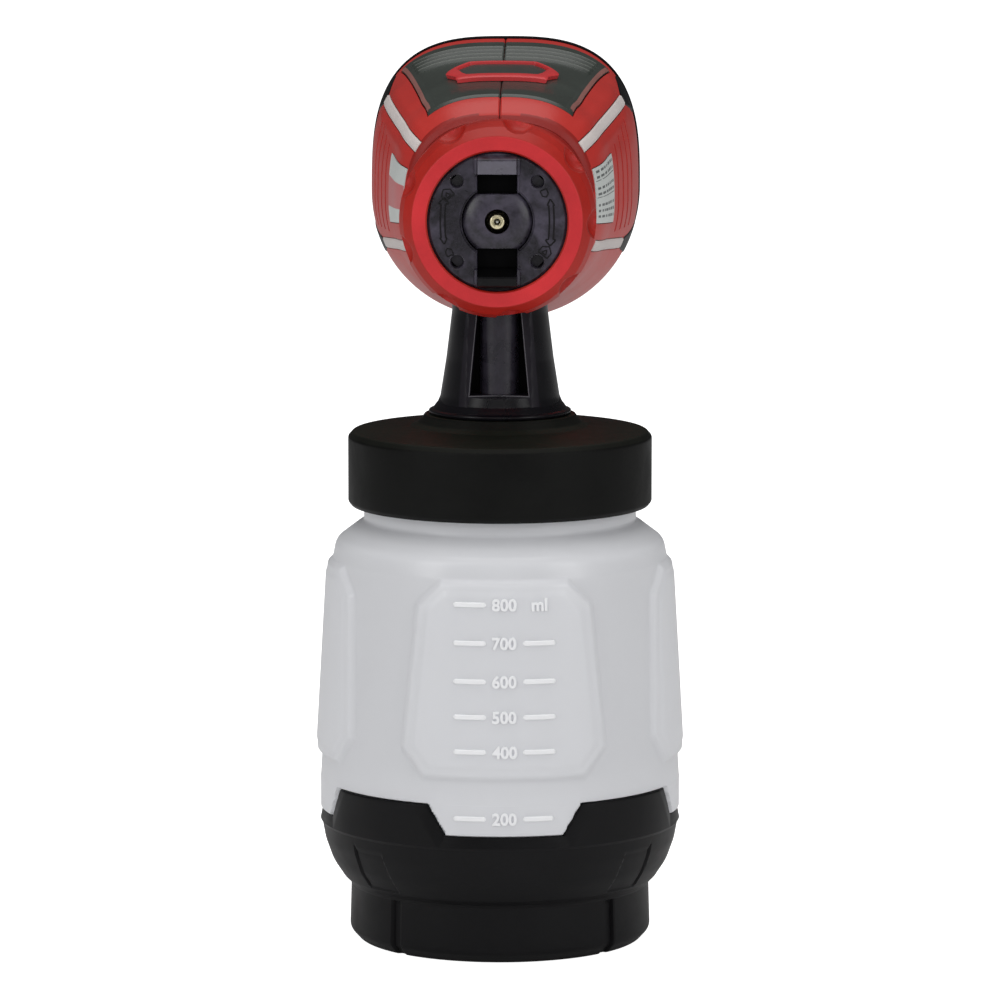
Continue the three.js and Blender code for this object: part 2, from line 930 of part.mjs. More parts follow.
const labelTool = (grow, side) =>
  prism(labelOutline(grow), Y, Z, X, side > 0 ? 10 : -60, side > 0 ? 60 : -10).translate([
    0,
    0,
    HEAD_Z,
  ]);
const labelSkin = skinFrom(0.7);
for (const side of [-1, 1])
  shell = shell.subtract(labelTool(0.25, side).intersect(labelSkin));
for (const y of [30, 37, 44, 51]) {
  const half = box(bodyAt(y)[0] - 1.1, 60, y - 0.65, y + 0.65, HEAD_Z - 9.5, HEAD_Z + 18 + (y - 30) * 0.33);
  shell = shell.subtract(half).subtract(mirroredX(half));
}
// Triangular corners of the rear cap reach forward into the housing beside the strips' ends.
const cornerOutline = (grow, front) => [
  [-6.2 - grow, 95],
  [-6.2 - grow, 84 - grow],
  [-2.0 - grow, front - grow],
  [2.0 + grow, front - grow],
  [6.2 + grow, 84 - grow],
  [6.2 + grow, 95],
];
const cornerTool = (grow, angle, r0 = 30) =>
  turnedY(
    prism(cornerOutline(grow, angle > 0 && angle < 180 ? 68 : 49), Z, Y, X, r0, 62).translate([0, 0, HEAD_Z]),
    -angle,
  );
const CORNERS = [37.8, 142.2, -21.5, 201.5];
for (const a of CORNERS) shell = shell.subtract(cornerTool(0.3, a).intersect(seatSkin.add(bodySkin(6, 46, 89.5).subtract(bodySkin(-1.5, 45, 91)))));

const GRIP_Z = [104, 172];
const gripBox = (grow) =>
  box(-40, 40, 100.5 - grow, 140, GRIP_Z[0] - grow, GRIP_Z[1] + grow);
const gripSeat = handleSkin(4, GRIP_Z[0] - 2, GRIP_Z[1] + 2)
  .subtract(handleSkin(-0.9, GRIP_Z[0] - 4, GRIP_Z[1] + 4))
  .intersect(gripBox(GAP));
shell = shell.subtract(gripSeat);

const rightHalf = shell.intersect(box(SEAM, 80, -20, 150, 60, 300));
const leftHalf = shell.intersect(box(-80, -SEAM, -20, 150, 60, 300));
add("housing_right", rightHalf, RED, gun, [0, 40, HEAD_Z]);
add("housing_left", leftHalf, RED, gun, [0, 40, HEAD_Z]);

// ---- panels, badge, strips and labels on the housing ----
const badgeOutline = (grow) => [
  [-13.4 - grow, 26 - grow],
  [13.4 + grow, 26 - grow],
  [14.6 + grow, 31],
  [17.2 + grow, 37.5],
  [17.2 + grow, 42],
  [13.6 + grow, 52 + grow],
  [-13.6 - grow, 52 + grow],
  [-17.2 - grow, 42],
  [-17.2 - grow, 37.5],
  [-14.6 - grow, 31],
];
const plateOutline = [
  [-10.2, 30.4],
  [10.2, 30.4],
  [11.4, 35.0],
  [14.0, 40.4],
  [11.2, 49.4],
  [-11.2, 49.4],
  [-14.0, 40.4],
  [-11.4, 35.0],
];
const shrink = (outline, d) =>
  outline.map(([x, y]) => [x - Math.sign(x) * d, y + (y < 40 ? d : -d)]);
const panelSkinTop = bodySkin(0.5, -4, 89).subtract(bodySkin(-1.2, -6, 90));
let topPanel = above(panelOutline(0)).intersect(panelSkinTop);
// Raised ribs across the rear of the panel.
for (const y of [61, 67.5, 74]) {
  const rib = bodySkin(1.1, 3, 88)
    .subtract(bodySkin(-0.6, 2, 89))
    .intersect(above([[-31.5, y - 0.8], [31.5, y - 0.8], [31.5, y + 0.8], [-31.5, y + 0.8]]))
    .intersect(above(panelOutline(-0.6)));
  topPanel = topPanel.add(rib);
}
topPanel = topPanel.subtract(above(badgeOutline(GAP)).intersect(skinFrom(0.2)));
add("top_panel_right", topPanel.intersect(box(SEAM, 60, -5, 95, 226, 290)), PANEL, gun, [0, 40, HEAD_Z]);
add("top_panel_left", topPanel.intersect(box(-60, -SEAM, -5, 95, 226, 290)), PANEL, gun, [0, 40, HEAD_Z]);
const badgeSkin = bodySkin(2.0, 3, 88).subtract(bodySkin(0.1, 2, 89));
const badgeFrame = above(badgeOutline(0))
  .intersect(badgeSkin)
  .subtract(above(plateOutline));
add("badge_frame", badgeFrame, RED, gun, [0, 39, HEAD_Z]);
add(
  "badge_plate",
  above(shrink(plateOutline, GAP)).intersect(
    bodySkin(1.4, 3, 88).subtract(bodySkin(0.1, 2, 89)),
  ),
  PANEL,
  gun,
  [0, 39, HEAD_Z],
);
const stripSkin = bodySkin(0.5, -4, 89).subtract(bodySkin(-1.2, -6, 90));
for (const [key, [angle, y0, y1]] of Object.entries(STRIPS))
  add(
    "accent_strip_" + key,
    stripSlab(1.75, y0, y1)(angle).intersect(stripSkin),
    PALE,
    gun,
    [0, 40, HEAD_Z],
  );
const labelPlate = bodySkin(0.15, -4, 60).subtract(bodySkin(-0.4, -6, 61));
add("label_right", labelTool(0, 1).intersect(labelPlate), PALE, gun, [0, 16, HEAD_Z]);
add("label_left", labelTool(0, -1).intersect(labelPlate), PALE, gun, [0, 16, HEAD_Z]);
add(
  "handle_grip",
  handleSkin(0.9, GRIP_Z[0] + 0, GRIP_Z[1] + 0)
    .subtract(handleSkin(-0.6, GRIP_Z[0] - 4, GRIP_Z[1] + 4))
    .intersect(box(-40, 40, 100.5, 140, GRIP_Z[0], GRIP_Z[1])),
  SOFT_BLACK,
  gun,
  [0, 100, 140],
);

// ---- rear cap, filter and its cover ----
function rearLoop(y, scale, grow, count = 24) {
  return bodyLoop(89.5, 0, count).map(([x, , z]) => {
    const r = Math.hypot(x, z - HEAD_Z);
    const k = (r * scale + grow) / r;
    return [x * k, y, HEAD_Z + (z - HEAD_Z) * k];
  });
}
const rearOuter = loft([
  rearLoop(BODY_REAR + GAP, 1.0, 0.7),
  rearLoop(94.5, 1.0, 0.9),
  rearLoop(101, 0.985, 0.2),
  rearLoop(112, 0.93, 0),
  rearLoop(119, 0.86, 0),
  rearLoop(REAR_END, 0.8, 0),
]);
const rearInner = loft([
  rearLoop(BODY_REAR - 2, 1.0, -1.5, 20),
  rearLoop(101, 0.985, -2.0, 20),
  rearLoop(112, 0.93, -2.2, 20),
  rearLoop(118.6, 0.86, -2.4, 20),
]);
const REAR_HOLE_R = 29;
let rearCap = rearOuter.subtract(rearInner).subtract(latheY(rodProfile(REAR_HOLE_R, 110, 130), MID));
// Side air slots.
for (const a of [0, 180])
  for (const dz of [-13, -5, 3, 11]) {
    const slot = box(30, 60, 97, 108, HEAD_Z + dz - 1.6, HEAD_Z + dz + 1.6);
    rearCap = rearCap.subtract(a ? mirroredX(slot) : slot);
  }
const cornerSkin = loft([...bodyTable.map((r) => r[0]).filter((y) => y > 20).map((y) => bodyLoop(y, 0.3)), bodyLoop(90.6, 0.3)]).subtract(
  loft([...bodyTable.map((r) => r[0]).filter((y) => y > 20).map((y) => bodyLoop(y, -1.2)), bodyLoop(91.6, -1.2)]),
);
for (const a of CORNERS) rearCap = rearCap.add(cornerTool(0, a).intersect(cornerSkin));
add("rear_cap", rearCap, BLACK, gun, [0, 90, HEAD_Z]);

let filterCover = latheY(
  closed([
    [0, 121.6],
    [0, 124.4],
    [30.4, 124.4],
    [31.8, 123.6],
    [31.8, 122.4],
    [28.6, 122.4],
    [28.6, 112.6],
    [26.8, 112.6],
    [26.8, 121.6],
  ]),
  MID,
);
for (let i = -2; i <= 2; i++) {
  const half = Math.sqrt(23.5 ** 2 - (i * 8) ** 2);
  filterCover = filterCover.subtract(
    box(-half, half, 120, 126, HEAD_Z + i * 8 - 2.0, HEAD_Z + i * 8 + 2.0),
  );
}
add("filter_cover", filterCover, BLACK, gun, [0, 112, HEAD_Z]);
add("air_filter", latheY(rodProfile(26.3, 114.5, 121.2), 24), GREY, gun, [0, 112, HEAD_Z]);

// ---- motor and turbine ----
const motor = new THREE.Group();
motor.position.set(0, 0, HEAD_Z);
gun.add(motor);
let motorCan = latheY(
  closed([
    [4.9, MOTOR_FRONT],
    [15.0, MOTOR_FRONT],
    [MOTOR_R, MOTOR_FRONT + 2.5],
    [MOTOR_R, MOTOR_REAR],
    [MOTOR_R - 1.5, MOTOR_REAR],
    [MOTOR_R - 1.5, MOTOR_FRONT + 4.0],
    [6.4, MOTOR_FRONT + 4.0],
    [6.4, MOTOR_FRONT + 1.4],
    [4.9, MOTOR_FRONT + 1.4],
  ]),
  18,
);
add("motor_can", motorCan, STEEL, motor);
add("bearing_front", latheY(ringProfile(2.65, 6.1, MOTOR_FRONT + 1.7, MOTOR_FRONT + 4.7), 12), STEEL, motor);
let endbell = latheY(
  closed([
    [6.4, MOTOR_REAR - 1.7],
    [15.4, MOTOR_REAR - 1.7],
    [15.4, MOTOR_REAR + GAP],
    [MOTOR_R, MOTOR_REAR + GAP],
    [MOTOR_R, MOTOR_REAR + 2.4],
    [4.2, MOTOR_REAR + 2.4],
    [4.2, MOTOR_REAR + 1.2],
    [6.4, MOTOR_REAR + 1.2],
  ]),
  18,
);
add("motor_endbell", endbell, SOFT_BLACK, motor);
add("bearing_rear", latheY(ringProfile(2.65, 6.1, MOTOR_REAR - 2.1, MOTOR_REAR + 0.9), 12), STEEL, motor);
add("motor_shaft", latheY(rodProfile(2.5, MOTOR_FRONT - 1.5, 87.6), 12), STEEL, motor);
// Laminated armature with slots along it.
let armature = latheY(ringProfile(2.8, 13.6, 43, 62), 16);
for (let i = 0; i < 8; i++)
  armature = armature.subtract(turnedY(box(9.8, 16, 42, 63, HEAD_Z - 0.9, HEAD_Z + 0.9), i * 45 + 22.5));
add("armature", armature, GREY, motor);
// Impeller: a hub and a back disc with swept vanes.
let impeller = join(
  latheY(ringProfile(2.7, 7.0, 77.0, 86.4), 12),
  latheY(ringProfile(2.7, IMPELLER_R, 77.0, 78.2), 24),
);
for (let i = 0; i < 8; i++) {
  const vane = box(6.0, IMPELLER_R - 1.2, 77.6, 85.4, HEAD_Z - 0.6, HEAD_Z + 0.6)
    .translate([0, 0, -HEAD_Z])
    .rotate([0, 22, 0])
    .translate([-1.6, 0, HEAD_Z + 3.4])
    .intersect(latheY(rodProfile(IMPELLER_R, 70, 90), MID));
  impeller = impeller.add(turnedY(vane, i * 45));
}
impeller = impeller.subtract(rod("y", 2.8, 70, 90, [0, HEAD_Z], 12));
add("impeller", impeller, GREY, motor);
// Bulkhead that holds the motor, with air passages, and the fan housing behind it.
let mount = latheY(ringProfile(MOTOR_R + GAP, 35, 47, 50), MID);
for (let i = 0; i < 6; i++)
  mount = mount.subtract(
    turnedY(rod("y", 5.2, 40, 60, [26.4, HEAD_Z], 10), i * 60 + 30),
  );
mount = mount.subtract(box(-4.5, 4.5, 40, 60, 185, LINK_Z + 2.4));
add("motor_mount", mount, GREY, motor);
const fan = latheY(
  closed([
    [16, 86.8],
    [FAN_R - 2, 86.8],
    [FAN_R - 2, 76.2],
    [8.0, 76.2],
    [8.0, 74.6],
    [FAN_R, 74.6],
    [FAN_R, 88.4],
    [16, 88.4],
  ]),
  MID,
);
let fanHousing = fan;
for (let i = 0; i < 6; i++)
  fanHousing = fanHousing.subtract(
    turnedY(rod("y", 4.6, 70, 77, [26.5, HEAD_Z], 8), i * 60),
  );
add("fan_housing", fanHousing, GREY, motor);

// ---- trigger, link, switch ----
// The trigger is a U-shaped lever that hangs from its pin and pulls the link's head back.
const triggerSide = [
  [PIVOT_Y - 3.4, PIVOT_Z - 0.5],
  [PIVOT_Y - 2.6, PIVOT_Z + 2.0],
  [PIVOT_Y - 1.1, PIVOT_Z + 3.0],
  [PIVOT_Y + 1.1, PIVOT_Z + 3.0],
  [PIVOT_Y + 2.6, PIVOT_Z + 2.0],
  [PIVOT_Y + 3.4, PIVOT_Z - 0.5],
  [69.4, 192],
  [70.4, 176],
  [68.2, 160],
  [67.4, 151],
  [66.0, 148.2],
  [62.4, 147.6],
  [60.2, 149.4],
  [59.2, 156],
  [57.2, 170],
  [TRIGGER_FRONT, 182],
  [58.2, 190],
  [60.2, 198],
];
let trigger = prism(triggerSide, Y, Z, X, -9.4, 9.4);
const triggerHollow = prism(
  [
    [64.2, 201.6],
    [60.0, 203.0],
    [60.0, 215],
    [80, 215],
    [80, 190],
    [80, 152],
    [63.6, 152],
    [62.2, 158],
    [60.4, 170],
    [60.2, 182],
    [61.2, 190],
    [63.2, 198],
  ],
  Y,
  Z,
  X,
  -6.6,
  6.6,
);
trigger = cut(
  trigger,
  triggerHollow,
  rod("x", 1.8, -12, 12, [PIVOT_Y, PIVOT_Z], 10),
  box(-3.6, 3.6, 50, 64.4, LINK_Z - 3.0, LINK_Z + 3.0), // slot for the link
  rod("y", 2.2, 50, 66, [0, KNOB_Z], 12),
);
add("trigger", trigger, BLACK, triggerGroup);
add("trigger_pin", rod("x", 1.5, -15, 15, [PIVOT_Y, PIVOT_Z], 10), STEEL, gun, [0, PIVOT_Y, PIVOT_Z]);
// The knob turns on a stem through the trigger's front wall.
let knob = latheY(
  [
    [0, 44.6],
    [6.2, 44.6],
    [7.2, 45.6],
    [7.2, 54.4],
    [6.4, 55.4],
    [1.8, 55.4],
    [1.8, 66.0],
    [0, 66.0],
  ],
  20,
  [0, KNOB_Z],
);
for (let i = 0; i < 8; i++) {
  const a = i * 45 * DEG;
  knob = knob.subtract(
    rod("y", 1.1, 43, 53.4, [7.9 * Math.cos(a), KNOB_Z + 7.9 * Math.sin(a)], 8),
  );
}
add("flow_knob", knob, COLLAR_RED, triggerGroup, [0, 0, KNOB_Z - PIVOT_Z]);
// Link: an upright arm on the needle's tail and a bar that runs back to a head behind the trigger's front wall.
const link = join(
  box(-3.0, 3.0, 28.0, 30.4, LINK_Z - 1.3, HEAD_Z + 3.4),
  box(-2.6, 2.6, 28.0, 64.0, LINK_Z - 1.3, LINK_Z + 1.3),
  box(-5.6, 5.6, 63.6, 66.0, LINK_Z - 1.3, LINK_Z + 1.3),
).subtract(rod("y", 1.4, 26, 32, [0, HEAD_Z], 12));
add("pull_link", link, STEEL, gun, [0, 30, LINK_Z]);
const switchBody = box(-6.5, 6.5, 87.4, 106, PLUNGER_Z - 7.5, PLUNGER_Z + 4.2);
add(
  "power_switch",
  switchBody.subtract(rod("y", 3.5, 80, 100, [0, PLUNGER_Z], 12)),
  SOFT_BLACK,
  gun,
  [0, 96, PLUNGER_Z],
);
add("switch_plunger", rod("y", 3.0, 62.4, 90.6, [0, PLUNGER_Z], 12), GREY, gun, [0, 76, PLUNGER_Z]);

// ---- cord ----
const cordPath = new THREE.CurvePath();
cordPath.add(new THREE.LineCurve3(new THREE.Vector3(0, 105, 95), new THREE.Vector3(0, 105, 46)));
cordPath.add(
  new THREE.QuadraticBezierCurve3(
    new THREE.Vector3(0, 105, 46),
    new THREE.Vector3(0, 105, 17),
    new THREE.Vector3(0, 131, 17),
  ),
);
cordPath.add(new THREE.LineCurve3(new THREE.Vector3(0, 131, 17), new THREE.Vector3(0, 146, 17)));
add("power_cord", sweep(cordPath, 3.3, 0, 5, 16), SOFT_BLACK, gun, [0, 105, 90]);
add(
  "cord_boot",
  latheZ(
    closed([
      [3.6, 58],
      [4.9, 58],
      [6.4, 82],
      [7.6, 84],
      [7.6, 93.3],
      [10.2, 93.3],
      [10.2, 94.6],
      [3.6, 94.6],
    ]),
    16,
    [0, 105],
  ),
  SOFT_BLACK,
  gun,
  [0, 0, 0],
);

// ---- housing screws ----
screws.forEach(([y, z], i) => {
  const cross = join(
    box(-12.6, -11.0, y - 0.45, y + 0.45, z - 1.8, z + 1.8),
    box(-12.6, -11.0, y - 1.8, y + 1.8, z - 0.45, z + 0.45),
  );
  const screw = rod("x", 3.0, -12.0, -9.6, [y, z], 10)
    .add(rod("x", 1.4, -9.8, 8.2, [y, z], 8))
    .subtract(cross);
  add("housing_screw_" + (i + 1), screw, STEEL, gun, [0, y, z]);
});

// The part's frame has its origin on the underside of the foot.
gun.position.set(0, 0, FOOT_EXTRA);
const sprayGun = new THREE.Group();
sprayGun.name = "hvlp_spray_gun";
sprayGun.add(gun);

export default sprayGun;
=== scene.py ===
import math

import bmesh
import bpy
import numpy as np
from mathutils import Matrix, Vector


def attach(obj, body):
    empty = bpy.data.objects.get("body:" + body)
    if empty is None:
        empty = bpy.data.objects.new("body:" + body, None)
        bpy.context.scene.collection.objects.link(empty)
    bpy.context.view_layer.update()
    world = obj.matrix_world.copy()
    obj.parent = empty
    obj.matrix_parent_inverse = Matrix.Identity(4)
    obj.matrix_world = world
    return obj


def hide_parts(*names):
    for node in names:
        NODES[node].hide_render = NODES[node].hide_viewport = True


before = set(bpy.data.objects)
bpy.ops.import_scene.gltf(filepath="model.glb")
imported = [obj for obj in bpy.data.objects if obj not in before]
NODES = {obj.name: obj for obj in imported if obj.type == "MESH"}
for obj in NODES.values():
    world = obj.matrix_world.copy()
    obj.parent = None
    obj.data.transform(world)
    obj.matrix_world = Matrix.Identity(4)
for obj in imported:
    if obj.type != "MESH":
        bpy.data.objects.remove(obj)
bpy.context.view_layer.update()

MM = 0.001
HEAD = 226.0  # height of the nozzle axis above the container's datum, mm
LIFT = 3.0  # the foot reaches this far below that datum
ROT = math.radians(2.7)  # the pot is screwed home a little past straight ahead
scene = bpy.context.scene


# ------------------------------------------------------------------ materials
def _noise(nt, scale, detail=3.0, rough=0.55, coord=None, distortion=0.0):
    n = nt.nodes.new("ShaderNodeTexNoise")
    n.inputs["Scale"].default_value = scale
    n.inputs["Detail"].default_value = detail
    n.inputs["Roughness"].default_value = rough
    n.inputs["Distortion"].default_value = distortion
    nt.links.new(coord, n.inputs["Vector"])
    return n.outputs["Fac"]


def _ramp(nt, fac, lo, hi, a=0.0, b=1.0):
    m = nt.nodes.new("ShaderNodeMapRange")
    m.inputs["From Min"].default_value = a
    m.inputs["From Max"].default_value = b
    m.inputs["To Min"].default_value = lo
    m.inputs["To Max"].default_value = hi
    nt.links.new(fac, m.inputs["Value"])
    return m.outputs["Result"]


def plastic(name, color, rough=0.4, grain=900.0, grain_depth=0.00002, rough_var=0.08,
            color_var=0.12, metallic=0.0, coat=0.0, spec=0.5, sheen=0.0, sss=0.0,
            mottle_and_sheen_scale=45.0, contrast=(0.3, 0.7)):
    m = bpy.data.materials.new(name)
    m.use_nodes = True
    nt = m.node_tree
    p = nt.nodes["Principled BSDF"]
    co = nt.nodes.new("ShaderNodeTexCoord").outputs["Object"]
    fine = _noise(nt, grain, 2.0, 0.5, co)
    # large patches of tone: random tone where color_var is small, painted reflection where it is large, as on the cap
    # and the riser
    big = _noise(nt, mottle_and_sheen_scale, 4.0, 0.6, co, 0.4)
    mix = nt.nodes.new("ShaderNodeMix")
    mix.data_type = "RGBA"
    c = np.array(color)
    mix.inputs["A"].default_value = (*np.clip(c * (1 - color_var), 0, 1), 1)
    mix.inputs["B"].default_value = (*np.clip(c * (1 + color_var), 0, 1), 1)
    blend = nt.nodes.new("ShaderNodeMath")
    blend.operation = "MULTIPLY_ADD"
    blend.inputs[1].default_value = 0.35
    nt.links.new(fine, blend.inputs[0])
    nt.links.new(_ramp(nt, big, 0.0, 0.65, *contrast), blend.inputs[2])
    nt.links.new(blend.outputs[0], mix.inputs["Factor"])
    nt.links.new(mix.outputs["Result"], p.inputs["Base Color"])
    nt.links.new(_ramp(nt, big, rough - rough_var, rough + rough_var, 0.3, 0.7), p.inputs["Roughness"])
    p.inputs["Metallic"].default_value = metallic
    p.inputs["Specular IOR Level"].default_value = spec
    p.inputs["Coat Weight"].default_value = coat
    p.inputs["Coat Roughness"].default_value = 0.25
    p.inputs["Sheen Weight"].default_value = sheen
    if sss:
        p.inputs["Subsurface Weight"].default_value = sss
        p.inputs["Subsurface Radius"].default_value = (1.0, 1.0, 1.0)
        p.inputs["Subsurface Scale"].default_value = 0.012
    b = nt.nodes.new("ShaderNodeBump")
    b.inputs["Strength"].default_value = 0.6
    b.inputs["Distance"].default_value = grain_depth
    nt.links.new(fine, b.inputs["Height"])
    nt.links.new(b.outputs["Normal"], p.inputs["Normal"])
    return m


def turned_metal(name, color, rough=0.28, axis=1, rings=2600.0, depth=0.000012):
    m = bpy.data.materials.new(name)
    m.use_nodes = True
    nt = m.node_tree
    p = nt.nodes["Principled BSDF"]
    co = nt.nodes.new("ShaderNodeTexCoord").outputs["Object"]
    mp = nt.nodes.new("ShaderNodeMapping")
    s = [60.0, 60.0, 60.0]
    s[axis] = rings
    mp.inputs["Scale"].default_value = s
    nt.links.new(co, mp.inputs["Vector"])
    streak = nt.nodes.new("ShaderNodeTexNoise")
    streak.inputs["Scale"].default_value = 1.0
    streak.inputs["Detail"].default_value = 3.0
    nt.links.new(mp.outputs["Vector"], streak.inputs["Vector"])
    mix = nt.nodes.new("ShaderNodeMix")
    mix.data_type = "RGBA"
    mix.inputs["A"].default_value = (*[c * 0.78 for c in color], 1)
    mix.inputs["B"].default_value = (*[min(1, c * 1.12) for c in color], 1)
    nt.links.new(streak.outputs["Fac"], mix.inputs["Factor"])
    nt.links.new(mix.outputs["Result"], p.inputs["Base Color"])
    nt.links.new(_ramp(nt, streak.outputs["Fac"], rough - 0.08, rough + 0.12, 0.3, 0.7), p.inputs["Roughness"])
    p.inputs["Metallic"].default_value = 1.0
    b = nt.nodes.new("ShaderNodeBump")
    b.inputs["Strength"].default_value = 0.5
    b.inputs["Distance"].default_value = depth
    nt.links.new(streak.outputs["Fac"], b.inputs["Height"])
    nt.links.new(b.outputs["Normal"], p.inputs["Normal"])
    return m


def foam(name, color):
    m = bpy.data.materials.new(name)
    m.use_nodes = True
    nt = m.node_tree
    p = nt.nodes["Principled BSDF"]
    co = nt.nodes.new("ShaderNodeTexCoord").outputs["Object"]
    v = nt.nodes.new("ShaderNodeTexVoronoi")
    v.inputs["Scale"].default_value = 900.0
    nt.links.new(co, v.inputs["Vector"])
    mix = nt.nodes.new("ShaderNodeMix")
    mix.data_type = "RGBA"
    mix.inputs["A"].default_value = (*[c * 0.35 for c in color], 1)
    mix.inputs["B"].default_value = (*color, 1)
    nt.links.new(_ramp(nt, v.outputs["Distance"], 0.0, 1.0, 0.1, 0.6), mix.inputs["Factor"])
    nt.links.new(mix.outputs["Result"], p.inputs["Base Color"])
    p.inputs["Roughness"].default_value = 0.95
    b = nt.nodes.new("ShaderNodeBump")
    b.inputs["Distance"].default_value = 0.0003
    nt.links.new(v.outputs["Distance"], b.inputs["Height"])
    nt.links.new(b.outputs["Normal"], p.inputs["Normal"])
    return m


RED = plastic("red_shell", (0.52, 0.032, 0.025), 0.38, 1400, 0.000012, 0.05, 0.07, coat=0.04, spec=0.36)
RING = plastic("red_ring", (0.62, 0.026, 0.032), 0.46, 2600, 0.00006, 0.05, 0.22, spec=0.34)


def facing_tone(m, front, side, axis="Y", lo=-0.97, hi=-0.80):
    """Paints light and shade by facing: multiplies the base colour by front where the normal's axis part is below lo,
    and by side where it is above hi.
    """
    nt = m.node_tree
    p = nt.nodes["Principled BSDF"]
    geo = nt.nodes.new("ShaderNodeNewGeometry")
    sep = nt.nodes.new("ShaderNodeSeparateXYZ")
    nt.links.new(geo.outputs["True Normal"], sep.inputs[0])
    mix = nt.nodes.new("ShaderNodeMix")
    mix.data_type = "RGBA"
    mix.blend_type = "MULTIPLY"
    mix.inputs["Factor"].default_value = 1.0
    tone = nt.nodes.new("ShaderNodeMix")
    tone.data_type = "RGBA"
    tone.inputs["A"].default_value = (*front, 1)
    tone.inputs["B"].default_value = (*side, 1)
    nt.links.new(_ramp(nt, sep.outputs[axis], 0.0, 1.0, lo, hi), tone.inputs["Factor"])
    old = p.inputs["Base Color"].links[0].from_socket
    nt.links.new(old, mix.inputs["A"])
    nt.links.new(tone.outputs["Result"], mix.inputs["B"])
    nt.links.new(mix.outputs["Result"], p.inputs["Base Color"])


# painted shade: the ring's bevel and sides, facing away from the front, are darkened and turned more orange than its
# front face
facing_tone(RING, (1.0, 1.0, 1.0), (0.66, 0.45, 0.16))
# painted shade: a darkened copy of the red plastic, for the shadowed collar behind the ring and the shell's shaded lip,
# groove floors and recess edges; the flow knob also uses it as its dark red
DARK_RED_SHADE = plastic("dark_red_and_painted_shade", (0.30, 0.010, 0.006), 0.42, 1400, 0.00001, 0.05, 0.08)
BLACK = plastic("black_satin", (0.0055, 0.0054, 0.0062), 0.42, 1600, 0.000014, 0.07, 0.3, spec=0.17)
LIDBLACK = plastic("black_lid", (0.0052, 0.0054, 0.0050), 0.50, 1600, 0.00002, 0.07, 0.35, spec=0.13, mottle_and_sheen_scale=70.0)
# painted light: the lid's upward faces are made about two and a half times lighter and slightly olive, as light from
# above would make them
facing_tone(LIDBLACK, (1.0, 1.0, 1.0), (2.6, 2.8, 2.2), "Z", 0.5, 0.9)
# painted sheen: a lighter, mottled copy of the neck's black for the riser in the neck's pocket, standing for its
# highlight
RISER_SHEEN = plastic("black_riser_painted_sheen", (0.024, 0.021, 0.031), 0.30, 1500, 0.00003, 0.10, 0.6, spec=0.45, mottle_and_sheen_scale=160.0)
# painted light: a slightly lighter copy of the neck's black for the sloping band round the pocket, as if lit
BAND_LIT = plastic("black_band_painted_light", (0.011, 0.009, 0.015), 0.42, 1500, 0.00002, 0.06, 0.25, spec=0.25)
# painted highlight: a grey line along the pocket's inner edge and its lower edge
EDGE_HIGHLIGHT = plastic("black_edge_painted_highlight", (0.11, 0.105, 0.12), 0.35, 1500, 0.00001, 0.06, 0.25)
NECKBLACK = plastic("black_neck", (0.005, 0.0046, 0.0068), 0.30, 1500, 0.00001, 0.06, 0.25, spec=0.3)
# painted reflection: the cap's black is lifted to a purple-grey and mottled in large light and dark patches that stand
# for reflected light
CAP_SHEEN = plastic("black_cap_painted_sheen", (0.036, 0.031, 0.047), 0.33, 1300, 0.00002, 0.12, 0.92, spec=0.5, mottle_and_sheen_scale=110.0, contrast=(0.42, 0.62))
CAPLINE = plastic("black_line", (0.003, 0.0025, 0.004), 0.4, 1300, 0.00001, 0.05, 0.3, spec=0.3)
# painted light: a lighter violet-grey for the upper horn's face, as if lit
EAR_LIT = plastic("ear_face_painted_light", (0.105, 0.098, 0.125), 0.30, 1300, 0.00002, 0.08, 0.35, mottle_and_sheen_scale=160.0)
# painted shadow: a near-black with almost no shine, laid in recesses, holes and the neck's pocket where shade falls
SHADOW_BLACK = plastic("black_painted_shadow", (0.0015, 0.0015, 0.0018), 0.6, 1300, 0.00001, 0.05, 0.3, spec=0.05)
BADGERED = plastic("badge_red", (0.56, 0.030, 0.034), 0.42, 1800, 0.00003, 0.05, 0.10)
GRIP = plastic("soft_grip", (0.018, 0.018, 0.019), 0.72, 2200, 0.00007, 0.06, 0.2)
PANEL = plastic("panel_grey", (0.042, 0.050, 0.043), 0.34, 1500, 0.00002, 0.05, 0.14, coat=0.15)
# painted highlight: a lit copy of the panel's grey for the rib crests
RIB_HIGHLIGHT = plastic("panel_rib", (0.13, 0.14, 0.125), 0.36, 1500, 0.00002, 0.05, 0.12)
BORDER = plastic("panel_edge", (0.26, 0.105, 0.09), 0.45, 1300, 0.00002, 0.05, 0.12)
PLATE = plastic("badge_dark", (0.045, 0.052, 0.046), 0.40, 1700, 0.00002, 0.05, 0.14)
PALE = plastic("pale_strip", (0.66, 0.60, 0.58), 0.5, 1200, 0.00002, 0.05, 0.06)
LABEL = plastic("label_film", (0.60, 0.63, 0.61), 0.35, 1500, 0.000006, 0.05, 0.05)
LABELRED = plastic("label_red", (0.55, 0.15, 0.155), 0.35, 1500, 0.000006, 0.05, 0.05)
INK = plastic("label_ink", (0.13, 0.14, 0.14), 0.45, 1500, 0.000004, 0.05, 0.10)
